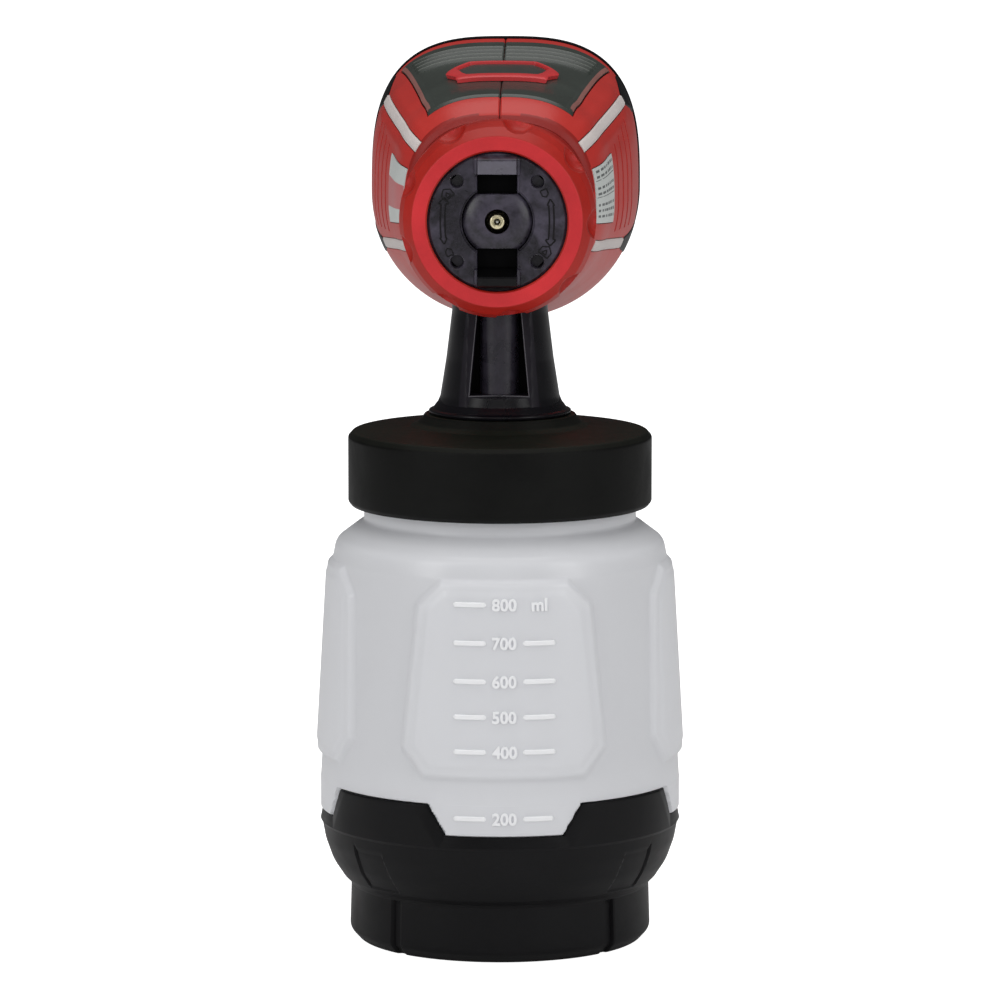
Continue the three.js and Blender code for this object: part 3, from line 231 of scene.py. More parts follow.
# painted highlight: the raised ticks and numerals are made whiter than the container, standing for the light they catch
MARK_HIGHLIGHT = plastic("milky_marks_painted_highlight", (0.95, 0.955, 0.975), 0.34, 420, 0.00002, 0.05, 0.02, mottle_and_sheen_scale=60.0)
MILKY = plastic("milky_hdpe", (0.79, 0.80, 0.835), 0.30, 420, 0.00003, 0.015, 0.008, sss=0.3, spec=0.5, mottle_and_sheen_scale=25.0)
GREY = plastic("grey_plastic", (0.20, 0.21, 0.22), 0.55, 1300, 0.00002)
TUBE = plastic("tube_plastic", (0.62, 0.64, 0.66), 0.35, 900, 0.00001, 0.05, 0.05)
SEAL = plastic("seal_rubber", (0.02, 0.02, 0.02), 0.8, 2000, 0.00004)
CORD = plastic("cord_rubber", (0.014, 0.014, 0.015), 0.6, 1500, 0.00004)
BRASS = turned_metal("brass", (0.97, 0.84, 0.56), 0.30, 1)
STEEL = turned_metal("steel", (0.55, 0.56, 0.57), 0.30, 1)
STEELX = turned_metal("steel_x", (0.50, 0.51, 0.52), 0.32, 0)
LAMINATED = turned_metal("laminations", (0.22, 0.20, 0.18), 0.5, 1, 1800.0, 0.00005)
FOAM = foam("filter_foam", (0.07, 0.07, 0.075))


# ------------------------------------------------------------------ mesh helpers
def make(name, verts, faces, mat, angle=32.0, fix=True, merge=0.0):
    me = bpy.data.meshes.new(name)
    me.from_pydata([tuple(v) for v in ((np.asarray(verts, float) + np.array([0, 0, LIFT])) * MM)], [], faces)
    bm = bmesh.new()
    bm.from_mesh(me)
    if merge:
        bmesh.ops.remove_doubles(bm, verts=bm.verts, dist=merge * MM)
    bmesh.ops.dissolve_degenerate(bm, dist=1e-7, edges=bm.edges)
    if fix:
        bmesh.ops.recalc_face_normals(bm, faces=bm.faces)
    bm.to_mesh(me)
    bm.free()
    me.polygons.foreach_set("use_smooth", [True] * len(me.polygons))
    me.set_sharp_from_angle(angle=math.radians(angle))
    me.materials.append(mat)
    ob = bpy.data.objects.new(name, me)
    scene.collection.objects.link(ob)
    return ob


def fil(points, closed=True, seg=5):
    """Rounds a polyline's corners: points are (a, b) or (a, b, radius)."""
    pts = [(p[0], p[1], p[2] if len(p) > 2 else 0.0) for p in points]
    out = []
    n = len(pts)
    for i, (a, b, r) in enumerate(pts):
        if r <= 0 or (not closed and i in (0, n - 1)):
            out.append((a, b))
            continue
        p = np.array([a, b])
        q0 = np.array(pts[i - 1][:2])
        q1 = np.array(pts[(i + 1) % n][:2])
        d0, d1 = q0 - p, q1 - p
        l0, l1 = np.linalg.norm(d0), np.linalg.norm(d1)
        d0, d1 = d0 / l0, d1 / l1
        ang = math.acos(max(-1, min(1, float(d0 @ d1))))
        if ang > math.pi - 0.02:
            out.append((a, b))
            continue
        t = min(r / math.tan(ang / 2), 0.45 * l0, 0.45 * l1)
        rr = t * math.tan(ang / 2)
        bis = (d0 + d1) / np.linalg.norm(d0 + d1)
        c = p + bis * (rr / math.sin(ang / 2))
        s, e = p + d0 * t, p + d1 * t
        a0 = math.atan2(*(s - c)[::-1])
        a1 = math.atan2(*(e - c)[::-1])
        da = (a1 - a0 + math.pi) % (2 * math.pi) - math.pi
        for k in range(seg + 1):
            th = a0 + da * k / seg
            out.append((c[0] + rr * math.cos(th), c[1] + rr * math.sin(th)))
    return out


def dense(poly, step, closed=True):
    """Adds points so that no edge of the polyline is longer than step."""
    out = []
    n = len(poly)
    for i in range(n if closed else n - 1):
        a, b = np.array(poly[i]), np.array(poly[(i + 1) % n])
        k = max(1, int(math.ceil(np.linalg.norm(b - a) / step)))
        for j in range(k):
            out.append(tuple(a + (b - a) * j / k))
    if not closed:
        out.append(tuple(poly[-1]))
    return out


def revolve(name, prof, n, mat, axis="z", centre=(0.0, 0.0), mod=None, closed=True, angle=32.0, merge=0.004):
    """prof is a list of (r, h). mod(theta, r, h) returns changed r and h. theta is 0 at -Y for axis z, and 0 at the top for axis y."""
    prof = np.array(prof, float)
    th = np.linspace(0, 2 * np.pi, n, endpoint=False)
    TH = np.repeat(th[:, None], len(prof), 1)
    R = np.repeat(prof[None, :, 0], n, 0)
    H = np.repeat(prof[None, :, 1], n, 0)
    if mod:
        R, H = mod(TH, R, H)
    if axis == "z":
        V = np.stack([centre[0] + R * np.sin(TH), centre[1] - R * np.cos(TH), H], -1)
    else:  # along Y about the line through (x, z)
        V = np.stack([centre[0] + R * np.sin(TH), H, centre[1] + R * np.cos(TH)], -1)
    m = len(prof)
    idx = np.arange(n * m).reshape(n, m)
    nx = np.roll(idx, -1, 0)
    mm = m if closed else m - 1
    a, b = idx[:, :mm], nx[:, :mm]
    c = np.roll(nx, -1, 1)[:, :mm]
    d = np.roll(idx, -1, 1)[:, :mm]
    faces = np.stack([a, b, c, d], -1).reshape(-1, 4).tolist()
    return make(name, V.reshape(-1, 3), faces, mat, angle, merge=merge)


def patch(name, outer, inner, mask, mat, angle=32.0):
    """outer and inner are (nu, nv, 3) grids; cells in mask get both skins and every free edge gets a wall."""
    nu, nv = outer.shape[:2]
    V = np.concatenate([outer.reshape(-1, 3), inner.reshape(-1, 3)])
    off = nu * nv
    idx = np.arange(off).reshape(nu, nv)
    faces = []
    for i in range(nu - 1):
        for j in range(nv - 1):
            if not mask[i, j]:
                continue
            a, b, c, d = idx[i, j], idx[i + 1, j], idx[i + 1, j + 1], idx[i, j + 1]
            faces.append((a, b, c, d))
            faces.append((off + d, off + c, off + b, off + a))
            for (p, q, ni, nj) in ((a, b, i, j - 1), (b, c, i + 1, j), (c, d, i, j + 1), (d, a, i - 1, j)):
                if not (0 <= ni < nu - 1 and 0 <= nj < nv - 1 and mask[ni, nj]):
                    faces.append((q, p, off + p, off + q))
    used = sorted({int(v) for f in faces for v in f})
    remap = {v: k for k, v in enumerate(used)}
    faces = [tuple(remap[int(v)] for v in f) for f in faces]
    return make(name, V[used], faces, mat, angle)


def skin_loops(name, loops, mat, angle=32.0, caps=True):
    loops = np.array(loops, float)
    m, n = loops.shape[:2]
    idx = np.arange(m * n).reshape(m, n)
    a = idx[:-1]
    b = np.roll(idx, -1, 1)[:-1]
    c = np.roll(idx, -1, 1)[1:]
    d = idx[1:]
    faces = np.stack([a, b, c, d], -1).reshape(-1, 4).tolist()
    if caps:
        faces.append(tuple(int(v) for v in idx[0][::-1]))
        faces.append(tuple(int(v) for v in idx[-1]))
    return make(name, loops.reshape(-1, 3), faces, mat, angle)


def join_objects(obs, name):
    base = obs[0]
    bm = bmesh.new()
    mats = []
    for o in obs:
        slot = []
        for m in o.data.materials:
            if m not in mats:
                mats.append(m)
            slot.append(mats.index(m))
        start = len(bm.faces)
        bm.from_mesh(o.data)
        bm.faces.ensure_lookup_table()
        for f in bm.faces[start:]:
            f.material_index = slot[f.material_index] if slot else 0
    me = bpy.data.meshes.new(name)
    bm.to_mesh(me)
    bm.free()
    for m in mats:
        me.materials.append(m)
    for o in obs:
        bpy.data.objects.remove(o)
    ob = bpy.data.objects.new(name, me)
    scene.collection.objects.link(ob)
    return ob


def place(ob, body, node=None):
    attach(ob, body)
    if node:
        for n in [node] if isinstance(node, str) else node:
            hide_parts(n)
    return ob


def smooth(x, a, b):
    t = np.clip((x - a) / (b - a), 0, 1)
    return t * t * (3 - 2 * t)


def poly_sdf(px, pz, poly):
    """Signed distance to a convex polygon given anticlockwise: negative inside."""
    d = np.full(np.broadcast(px, pz).shape, -1e9)
    n = len(poly)
    for i in range(n):
        ax, az = poly[i]
        bx, bz = poly[(i + 1) % n]
        L = math.hypot(bx - ax, bz - az)
        nx_, nz_ = (bz - az) / L, -(bx - ax) / L
        d = np.maximum(d, (px - ax) * nx_ + (pz - az) * nz_)
    return d


def seg_dist(px, pz, a, b):
    a, b = np.array(a, float), np.array(b, float)
    ab = b - a
    t = np.clip(((px - a[0]) * ab[0] + (pz - a[1]) * ab[1]) / (ab @ ab), 0, 1)
    return np.hypot(px - a[0] - t * ab[0], pz - a[1] - t * ab[1])


# ------------------------------------------------------------------ pot base
FOOT_ANGLES = np.radians([45, 135, 225, 315])


def near(th, centres):
    """Signed angle to the nearest of the centres."""
    d = (th[..., None] - centres + np.pi) % (2 * np.pi) - np.pi
    k = np.abs(d).argmin(-1)
    return np.take_along_axis(d, k[..., None], -1)[..., 0]


QUARTERS = np.radians([0, 90, 180, 270])


def notch_top(th):
    d = np.abs(np.degrees(near(th, QUARTERS)))
    return 38.3 + (48.0 - 38.3) * np.clip((d - 19.3) / (25.5 - 19.3), 0, 1)


base_out = [(0, -3.0), (44.2, -3.0, 1.6), (47.15, 0.2, 3.0), (46.75, 14.4, 0.5), (47.4, 15.4, 1.0), (49.2, 17.2, 3.0), (52.5, 22.2, 14.0), (54.8, 28.6, 14.0), (55.8, 34.0, 0.4), (56.4, 34.9, 0.4), (56.45, 38.0), (56.45, 48.0, 0.5)]
base_in = [(54.4, 48.0, 0.4), (54.4, 38.0), (52.6, 29.4), (50.2, 22.6), (44.8, 14.4), (44.8, 0.0), (0, 0.0)]
bp = fil(base_out + base_in, closed=False, seg=6)
bp = dense(bp, 0.9, closed=False)
bp.append(bp[0])
bp = bp[:-1]


def base_mod(TH, R, H):
    R, H, TH = R.copy(), H.copy(), TH - ROT
    top = notch_top(TH)
    # everything above 36 mm is pressed down to the notch's edge
    up = H > 36.0
    H = np.where(up, 36.0 + (H - 36.0) * (top - 36.0) / 12.0, H)
    outer = (R > 44.9) & ~((R < 54.6) & (H > 15))
    outer = outer | ((H < 36) & (R > np.interp(H, [0, 14.4, 22.6, 29.4, 36], [43.0, 45.8, 51.2, 53.4, 55.0])))
    q = near(TH, FOOT_ANGLES)
    # four upright channels in the foot
    s = np.abs(q) * 46.7
    ch = (1 - smooth(s, 1.45, 2.0)) * (1 - smooth(H, 14.0, 14.6))
    R = np.where(outer & (H < 15), R - 1.3 * ch, R)
    # sunk trapezoid and slit on the skirt, mirrored about each quarter
    aq = np.abs(near(TH, np.radians([0, 180])))
    sx = (aq - math.radians(48.0)) * 52.0
    trap = poly_sdf(sx, H, [(-7.1, 17.6), (6.9, 17.6), (7.4, 30.6), (-4.4, 30.6)])
    front_only = aq < math.radians(70)
    sunk = (1 - smooth(trap, -0.45, 0.0)) * 0.45
    R = np.where(outer & (H > 15.4) & front_only, R - sunk, R)
    slit = seg_dist(sx, H, (6.9, 18.6), (7.4, 31.0))
    R = np.where(outer & (H > 15.4) & front_only, R - 0.9 * (1 - smooth(slit, 0.2, 0.5)), R)
    # a wide bevel falls to each notch's edge
    edge = poly_sdf(56.4 * np.sin(near(TH, QUARTERS)), H, [(-18.4, 38.6), (18.4, 38.6), (24.9, 49.6), (-24.9, 49.6)])
    fall = 0.85 * np.clip(1 - np.maximum(edge, 0) / 4.0, 0, 1)
    R = np.where(outer & (H > 34.9), R - fall, R)
    return R, H


ob = revolve("pot_base_fine", bp, 720, BLACK, mod=base_mod, closed=False, angle=28)
place(ob, "pot", "pot_base")

# ------------------------------------------------------------------ container
OCT = [(-19.6, 117.9), (-27.4, 109.7), (-31.9, 64.9), (-24.8, 55.4), (24.8, 55.4), (31.9, 64.9), (27.4, 109.7), (19.6, 117.9)]
cont_out = [(0, 0.4), (41.6, 0.4, 2.0), (44.5, 3.2, 2.0), (44.5, 14.6), (49.9, 22.8), (52.3, 29.6), (54.1, 38.2), (54.1, 48.25), (56.25, 48.35, 0.3),
            (52.25, 117.5, 9.0), (51.2, 123.0, 5.0), (44.6, 128.0, 4.0), (42.5, 129.4, 1.5), (42.4, 144.0), (43.8, 144.4), (43.8, 145.4), (42.4, 145.8), (42.4, 151.0)]
cont_in = [(40.6, 151.0), (40.6, 129.4), (47.7, 123.4, 4.0), (50.1, 119.0, 4.0), (53.6, 58.0), (52.4, 44.0), (50.8, 29.8), (48.2, 22.9), (43.0, 15.0), (43.0, 2.0), (0, 2.0)]
n_out = len(dense(fil(cont_out, closed=False, seg=7), 0.8, closed=False))
cp = dense(fil(cont_out, closed=False, seg=7), 0.8, closed=False) + dense(fil(cont_in, closed=False, seg=4), 3.0, closed=False)


def panel_lift(TH, R, H):
    q = near(TH, QUARTERS)
    d = poly_sdf(R * np.sin(q), H, OCT)
    # a rounded step, then a shallow second step inside it
    return 1.6 * smooth(-d, -0.1, 2.4) + 0.4 * smooth(-d, 3.4, 5.4)


def cont_mod(TH, R, H):
    R, H, TH = R.copy(), H.copy(), TH - ROT
    col = np.arange(R.shape[1])[None, :] < n_out
    lift = panel_lift(TH, R, H)
    R = np.where(col & (H > 50), R + lift, R)
    q = near(TH, QUARTERS)
    fill = poly_sdf(56.4 * np.sin(q), H, [(-18.3, 38.6), (18.3, 38.6), (24.6, 49.2), (-24.6, 49.2)])
    w = 1 - smooth(fill, -0.35, 0.0)
    R = np.where(col & (H > 38.0) & (H < 48.32) & (R > 53.9), R + (56.3 - R) * w, R)
    R = np.where(col & (H > 48.1) & (H < 48.9) & (np.abs(q) < 0.435), np.maximum(R, 56.25 - 0.06 * (H - 48.35)), R)
    return R, H


ob = revolve("container_fine", cp, 560, MILKY, mod=cont_mod, closed=False, angle=40)
place(ob, "pot", "container")


def front_radius(z):
    """The container's outer surface on its front panel and in its front notch."""
    if z < 48:
        return 56.3
    return float(np.interp(z, [48.35, 117.5], [56.25, 52.25])) + 2.0


def on_pot(x, z, out):
    r = front_radius(z) + out
    a = x / front_radius(z) + ROT
    return (r * math.sin(a), -r * math.cos(a), z)


# graduation ticks: raised bars with rounded ends
tick_meshes = []
LEVELS = {800: 110.2, 700: 98.4, 600: 86.7, 500: 75.8, 400: 65.1, 200: 44.2}
for ml, z in LEVELS.items():
    spans = [(-15.9, -5.7)]
    if ml != 800:
        spans.append((5.6, 15.8 if ml != 200 else 15.1))
    for x0, x1 in spans:
        n = 18
        prof = [(-0.86, -0.3), (-0.76, 0.24), (-0.5, 0.46), (0.5, 0.46), (0.76, 0.24), (0.86, -0.3)]
        loops = []
        for k in range(n + 1):
            x = x0 + (x1 - x0) * k / n
            e = min(k, n - k) / 1.0
            f = 1.0 if e >= 1 else 0.35
            loops.append([on_pot(x, z + dz * f, h * (1.0 if e >= 1 else (0.2 if h > 0 else 1))) for dz, h in prof])
        tick_meshes.append(skin_loops("tick", loops, MARK_HIGHLIGHT, 30))


def text_on_pot(text, size, x_left, z_mid):
    """Plain raised numerals wrapped onto the container."""
    cu = bpy.data.curves.new("num", "FONT")
    cu.body = text
    cu.size = size
    cu.extrude = 0.34
    cu.bevel_depth = 0.07
    cu.bevel_resolution = 1
    cu.resolution_u = 5
    cu.offset = 0.02 * size
    tmp = bpy.data.objects.new("num", cu)
    scene.collection.objects.link(tmp)
    dg = bpy.context.evaluated_depsgraph_get()
    me = bpy.data.meshes.new_from_object(tmp.evaluated_get(dg), depsgraph=dg)
    bpy.data.objects.remove(tmp)
    bm = bmesh.new()
    bm.from_mesh(me)
    bmesh.ops.triangulate(bm, faces=[f for f in bm.faces if len(f.verts) > 4])
    co = np.array([v.co for v in bm.verts])
    cx, cz = co[:, 0].min(), (co[:, 1].min() + co[:, 1].max()) / 2
    for v in bm.verts:
        p = on_pot(x_left + v.co.x - cx, z_mid + v.co.y - cz, v.co.z + 0.1)
        v.co = Vector((p[0], p[1], p[2] + LIFT)) * MM
    bmesh.ops.recalc_face_normals(bm, faces=bm.faces)
    bm.to_mesh(me)
    bm.free()
    me.materials.clear()
    me.materials.append(MARK_HIGHLIGHT)
    ob = bpy.data.objects.new("num", me)
    scene.collection.objects.link(ob)
    return ob


for ml, z in LEVELS.items():
    tick_meshes.append(text_on_pot(str(ml), 5.0, -3.9, z))
tick_meshes.append(text_on_pot("ml", 5.2, 8.2, LEVELS[800]))
ob = join_objects(tick_meshes, "container_graduations")
place(ob, "pot")

# ------------------------------------------------------------------ lid
lid = [(44.9, 134.0, 0.3), (46.4, 134.0, 0.4), (47.4, 135.2, 1.2), (47.4, 155.4, 1.4), (45.9, 157.05, 1.2), (27.6, 158.8, 2.0), (25.4, 159.9, 2.0), (23.9, 161.8, 1.0), (23.5, 162.4, 0.2),
       (12.0, 162.4), (12.0, 153.9), (44.9, 153.9), (44.9, 143.0), (43.2, 142.6), (43.2, 141.4), (44.9, 141.0)]
ob = revolve("pot_lid_fine", dense(fil(lid, seg=6), 3.0), 256, LIDBLACK, angle=30)
place(ob, "gun", "pot_lid")

# ------------------------------------------------------------------ spray head: flange, neck, barrel
flange = [(0, 150.5), (8.6, 150.5), (8.6, 153.2), (11.7, 153.4), (11.7, 162.7), (22.0, 162.7, 0.2), (22.3, 163.7, 0.5), (20.9, 164.2, 0.4), (20.2, 165.2, 0.8), (19.4, 166.2, 0.8), (18.2, 169.0), (0, 169.0)]
parts = [revolve("flange", fil(flange, closed=False, seg=5), 192, NECKBLACK, closed=False, angle=30)]
NECK = [(165.4, 19.4, 19.4, 2.05), (168, 18.6, 18.9, 2.15), (180, 16.7, 17.6, 2.35), (194.7, 14.9, 16.4, 2.6), (208, 14.2, 15.8, 2.6)]
rows = []
FOOT_OUT, FOOT_IN = 166.2, 169.7
zs = np.unique(np.round(np.concatenate([np.linspace(165.4, 208, 72), [FOOT_OUT - 0.05, FOOT_OUT + 0.2, FOOT_IN - 0.4, FOOT_IN - 0.05, FOOT_IN + 0.2]]), 3))
for z in zs:
    a, b, nn = [float(np.interp(z, [r[0] for r in NECK], [r[k] for r in NECK])) for k in (1, 2, 3)]
    f = (z - 168) / (199 - 168)
    outer = 12.5 - 2.5 * f
    inner = 9.1 - 2.9 * f
    # front nodes from right to left, with a node each side of every edge
    xf = np.concatenate([[outer, outer - 0.15], np.linspace(outer - 0.15, inner + 0.5, 7)[1:], [inner + 0.2], np.linspace(inner - 0.1, 6.3, 5), np.linspace(6.1, 0, 16)])
    xf = np.concatenate([xf, -xf[::-1][1:]])
    surf = -b * np.clip(1 - (np.abs(xf) / a) ** nn, 0, 1) ** (1 / nn)
    ax = np.abs(xf)
    band = -(b - 1.9) + 0.25 * (outer - ax)
    riser = np.where(ax < 6.15, -8.2 - np.sqrt(np.clip(6.2 ** 2 - ax ** 2, 0, None)), -9.0)
    yf = surf.copy()
    if z > FOOT_OUT:
        cut = ax < outer - 0.05
        yf = np.where(cut, np.maximum(surf, band), surf)
        if z > FOOT_IN:
            yf = np.where(ax < inner + 0.05, np.maximum(riser, -14.6), yf)
    t0 = math.acos(min(1, (outer / a) ** (nn / 2)))
    t = np.linspace(-t0, math.pi + t0, 230)[1:-1]
    xb = a * np.sign(np.cos(t)) * np.abs(np.cos(t)) ** (2 / nn)
    yb = b * np.sign(np.sin(t)) * np.abs(np.sin(t)) ** (2 / nn)
    # the front runs right to left, the rest goes left, back, right
    x = np.concatenate([xf, xb[::-1]])
    y = np.concatenate([yf, yb[::-1]])
    rows.append(np.stack([x, y, np.full_like(x, z)], -1))
neck = skin_loops("neck", rows, NECKBLACK, 30)
for extra in (SHADOW_BLACK, RISER_SHEEN, BAND_LIT, EDGE_HIGHLIGHT):
    neck.data.materials.append(extra)
# painted light and shade in the front pocket: the floor and walls beside the riser get the painted shadow, the riser
# the painted sheen, the inner edge the painted highlight and the sloping band the lit black
for p in neck.data.polygons:
    x_, y_, z_ = abs(p.center.x) / MM, p.center.y / MM, p.center.z / MM - LIFT
    f = (z_ - 168) / (199 - 168)
    outer, inner = 12.5 - 2.5 * f, 9.1 - 2.9 * f
    if len(p.vertices) > 4 or y_ > -7.5 or x_ > outer - 0.1 or z_ < FOOT_OUT:
        continue
    if x_ < inner - 0.02 and z_ > FOOT_IN + 0.1:
        p.material_index = 2 if x_ < 5.9 else 1
    elif (x_ < inner + 0.5 and x_ > inner + 0.15 and z_ > FOOT_IN - 0.1) or (FOOT_IN - 0.4 < z_ < FOOT_IN - 0.04 and x_ < inner + 0.45):
        p.material_index = 4
    else:
        p.material_index = 3
parts.append(neck)
barrel = [(19.4, -36.2), (22.6, -36.2), (22.6, -20.4), (24.8, -20.0, 0.3), (24.8, -8.0, 0.4), (21.5, -7.0), (21.5, 24.0), (19.4, 24.0)]
parts.append(revolve("barrel", fil(barrel), 160, NECKBLACK, axis="y", centre=(0, HEAD)))
hub = [(1.9, -19.0), (5.8, -19.0), (5.8, -26.0), (8.0, -26.0), (8.0, 24.0), (5.3, 24.0), (5.3, 6.0), (1.9, 6.0)]
parts.append(revolve("hub", hub, 64, NECKBLACK, axis="y", centre=(0, HEAD)))
for a in (0, 60, 120):
    c, s_ = math.cos(math.radians(a)), math.sin(math.radians(a))
    for sg in (-1, 1):
        lo = []
        for yv in (-14.0, 8.0):
            lo.append([(sg * r * c - w * s_, yv, HEAD + sg * r * s_ + w * c) for r, w in ((7.6, -1.1), (20.4, -1.1), (20.4, 1.1), (7.6, 1.1))])
        parts.append(skin_loops("web", lo, NECKBLACK))
ob = join_objects(parts, "spray_head_fine")
place(ob, "gun", "spray_head")

# ------------------------------------------------------------------ union ring
ring = [(21.4, -41.6, 0.2), (21.9, -42.0, 0.3), (26.0, -42.0, 0.8), (28.7, -38.8, 2.2), (30.1, -33.6, 2.0), (30.1, -24.0, 1.4), (27.8, -20.6, 0.8), (23.0, -20.6), (23.0, -39.6), (21.4, -39.6)]
rp = dense(fil(ring, seg=7), 0.55)


def ring_mod(TH, R, H):
    d = near(TH, np.radians(12 + np.arange(9) * 40))
    # round-bottomed scoops: a cylinder along the axis with a rounded rear end
    rho = 5.9 * np.sqrt(np.clip(1 - np.clip((H + 30.2) / 3.6, 0, 1) ** 2, 0, 1))
    side_ = np.abs(33.2 * np.sin(d))
    rc = 33.2 * np.cos(d) - np.sqrt(np.clip(rho ** 2 - side_ ** 2, 0, None))
    hit = (side_ < rho) & (R > 26.4) & (H < -21.0)
    return np.where(hit, np.minimum(R, rc), R), H


ob = revolve("cap_ring_fine", rp, 900, RING, axis="y", centre=(0, HEAD), mod=ring_mod, angle=40)
place(ob, "ring", "cap_ring")

# the collar's flare needs the housing's outline, so it is made after the housing

# ------------------------------------------------------------------ air cap
EAR = 6.05
rs = np.unique(np.concatenate([np.linspace(3.8, 21.1, 98), [8.2, 8.4, 14.2, 14.4, 10.6, 10.8, 10.9, 11.0, 11.2]]))
nt_ = 900
tha = np.linspace(0, 2 * np.pi, nt_, endpoint=False)
TH, RR = np.meshgrid(tha, rs, indexing="ij")
PX, PZ = RR * np.sin(TH), RR * np.cos(TH)  # seen from the front, +X is to the right
# base height, positive towards the viewer, measured from y = -39.4
h = np.full_like(PX, 1.5)
h += 0.35 * smooth(RR, 19.8, 20.9) * 0 - 0.5 * smooth(RR, 20.5, 21.1)
dome = 2.0 - 2.4 * ((RR - 3.8) / 7.1) ** 2
h = np.where(RR < 10.9, dome, h)
h -= 0.95 * (1 - smooth(np.abs(RR - 10.95), 0.14, 0.42))
# index holes
for a in (45, 135, 225, 315):
    hx, hz = 17.3 * math.sin(math.radians(a)), 17.3 * math.cos(math.radians(a))
    d = np.hypot(PX - hx, PZ - hz)
    h = np.where(d < 2.35, h - 3.2 * (1 - smooth(d, 1.75, 1.98)) + 0.22 * smooth(d, 1.95, 2.1) * (1 - smooth(d, 2.15, 2.35)), h)


wires = []


def wire(pts, y=-40.86, r=0.26, rad=0.25):
    """A thin raised outline that follows a closed polygon on the cap's face."""
    p = np.array(dense(fil([(a_, b_, rad) for a_, b_ in pts], seg=4), 0.5))
    d_ = np.roll(p, -1, 0) - np.roll(p, 1, 0)
    d_ /= np.maximum(np.linalg.norm(d_, axis=1)[:, None], 1e-9)
    nrm = np.stack([d_[:, 1], -d_[:, 0]], -1)
    loops = []
    for k in range(10):
        a_ = 2 * math.pi * k / 10
        q = p + nrm * r * math.cos(a_)
        loops.append(np.stack([q[:, 0], np.full(len(q), y - r * 0.9 * math.sin(a_)), HEAD + q[:, 1]], -1))
    L_ = np.array(loops)
    ix = np.arange(L_.shape[0] * L_.shape[1]).reshape(L_.shape[:2])
    a2, b2 = ix, np.roll(ix, -1, 1)
    fs = np.stack([a2, b2, np.roll(b2, -1, 0), np.roll(a2, -1, 0)], -1).reshape(-1, 4).tolist()
    wires.append(make("wire", L_.reshape(-1, 3), fs, CAPLINE, 60))


def arrow(side, big_top):
    c = 16.6
    top, bot = (7.4, -7.0) if big_top else (7.0, -7.4)

    def P(z, dx=0.0):
        return (side * (math.sqrt(max(c * c - z * z * 0.35, 1)) + dx), z)
    zs_ = np.linspace(bot + 2.0, top - 2.0, 7)
    left = [P(z, -0.7) for z in zs_]
    right = [P(z, 0.7) for z in zs_][::-1]
    hw_t, hw_b = (1.7, 1.1) if big_top else (1.1, 1.7)
    return left + [P(top - 2.0, -hw_t), P(top, 0), P(top - 2.0, hw_t)] + right + [P(bot + 2.0, hw_b), P(bot, 0), P(bot + 2.0, -hw_b)]


wire(arrow(-1, True))
wire(arrow(1, False))
SHAPES = {
    "big": [(-1.7, -1.2), (-1.7, 0.8), (0.0, 2.0), (1.7, 0.8), (1.7, -1.2)],
    "small": [(-1.0, -1.0), (-1.0, 0.6), (0.0, 1.4), (1.0, 0.6), (1.0, -1.0)],
    "wedge": [(-0.8, -0.7), (0.8, -0.7), (0.0, 0.8)],
}
for (x, z, ang, kind) in ((-15.1, 8.2, 40, "big"), (-15.1, 8.2, 40, "wedge"), (14.4, 8.8, 205, "small"), (-14.6, -9.4, 25, "small"), (14.6, -9.2, 320, "big"), (14.6, -9.2, 320, "wedge")):
    c, s_ = math.cos(math.radians(ang)), math.sin(math.radians(ang))
    wire([(x + px * c - pz * s_, z + px * s_ + pz * c) for px, pz in SHAPES[kind]], r=0.22, rad=0.18)
# ears: a horn, its cheeks and the recess between it and the dome
az = np.abs(PZ)
ear = 1 - smooth(np.abs(PX), EAR - 0.15, EAR + 0.1)
cheek = (1 - smooth(np.abs(PX), EAR + 0.85, EAR + 1.1)) * smooth(np.abs(PX), EAR - 0.1, EAR + 0.05)
recess = -1.25 + 0 * az
horn = np.interp(az, [14.3, 14.6, 19.0, 19.4, 20.3], [0.6, 5.2, 4.2, 3.6, 2.0])
horn_low = np.interp(az, [14.3, 16.8, 17.1, 19.4, 20.3], [-0.2, 4.6, 5.2, 4.4, 2.0])
horn = np.where(PZ > 0, horn, horn_low)
earh = np.where(az < 14.3, recess, horn)
inear = (az > 8.3) & (RR < 20.9)
h = np.where(inear, h * (1 - ear) + earh * ear, h)
ck = np.where((az > 14.2) & (RR < 20.9), cheek, 0)
h = h * (1 - ck) + np.interp(az, [14.2, 14.5, 19.0, 20.4], [1.5, 4.0, 3.2, 1.4]) * ck
# raised rims beside the recess
rim = (1 - smooth(np.abs(np.abs(PX) - (EAR + 0.35)), 0.15, 0.4)) * ((az > 8.3) & (az < 14.4))
h = h + 0.45 * rim
Y = -39.4 - h
# back and rim
back = [(21.1, -39.3), (22.7, -39.3), (22.7, -36.7), (19.2, -36.7), (18.6, -38.0), (3.8, -37.6)]
cols = [np.stack([PX, Y, HEAD + PZ], -1)]
for r, y in back:
    cols.append(np.stack([r * np.sin(tha), np.full(nt_, y), HEAD + r * np.cos(tha)], -1)[:, None, :])
G = np.concatenate(cols, 1)
m = G.shape[1]
idx = np.arange(nt_ * m).reshape(nt_, m)
nx_ = np.roll(idx, -1, 0)
faces = np.stack([idx, nx_, np.roll(nx_, -1, 1), np.roll(idx, -1, 1)], -1).reshape(-1, 4).tolist()
face = make("air_cap", G.reshape(-1, 3), faces, CAP_SHEEN, 38)
for extra in (SHADOW_BLACK, EAR_LIT, BLACK):
    face.data.materials.append(extra)
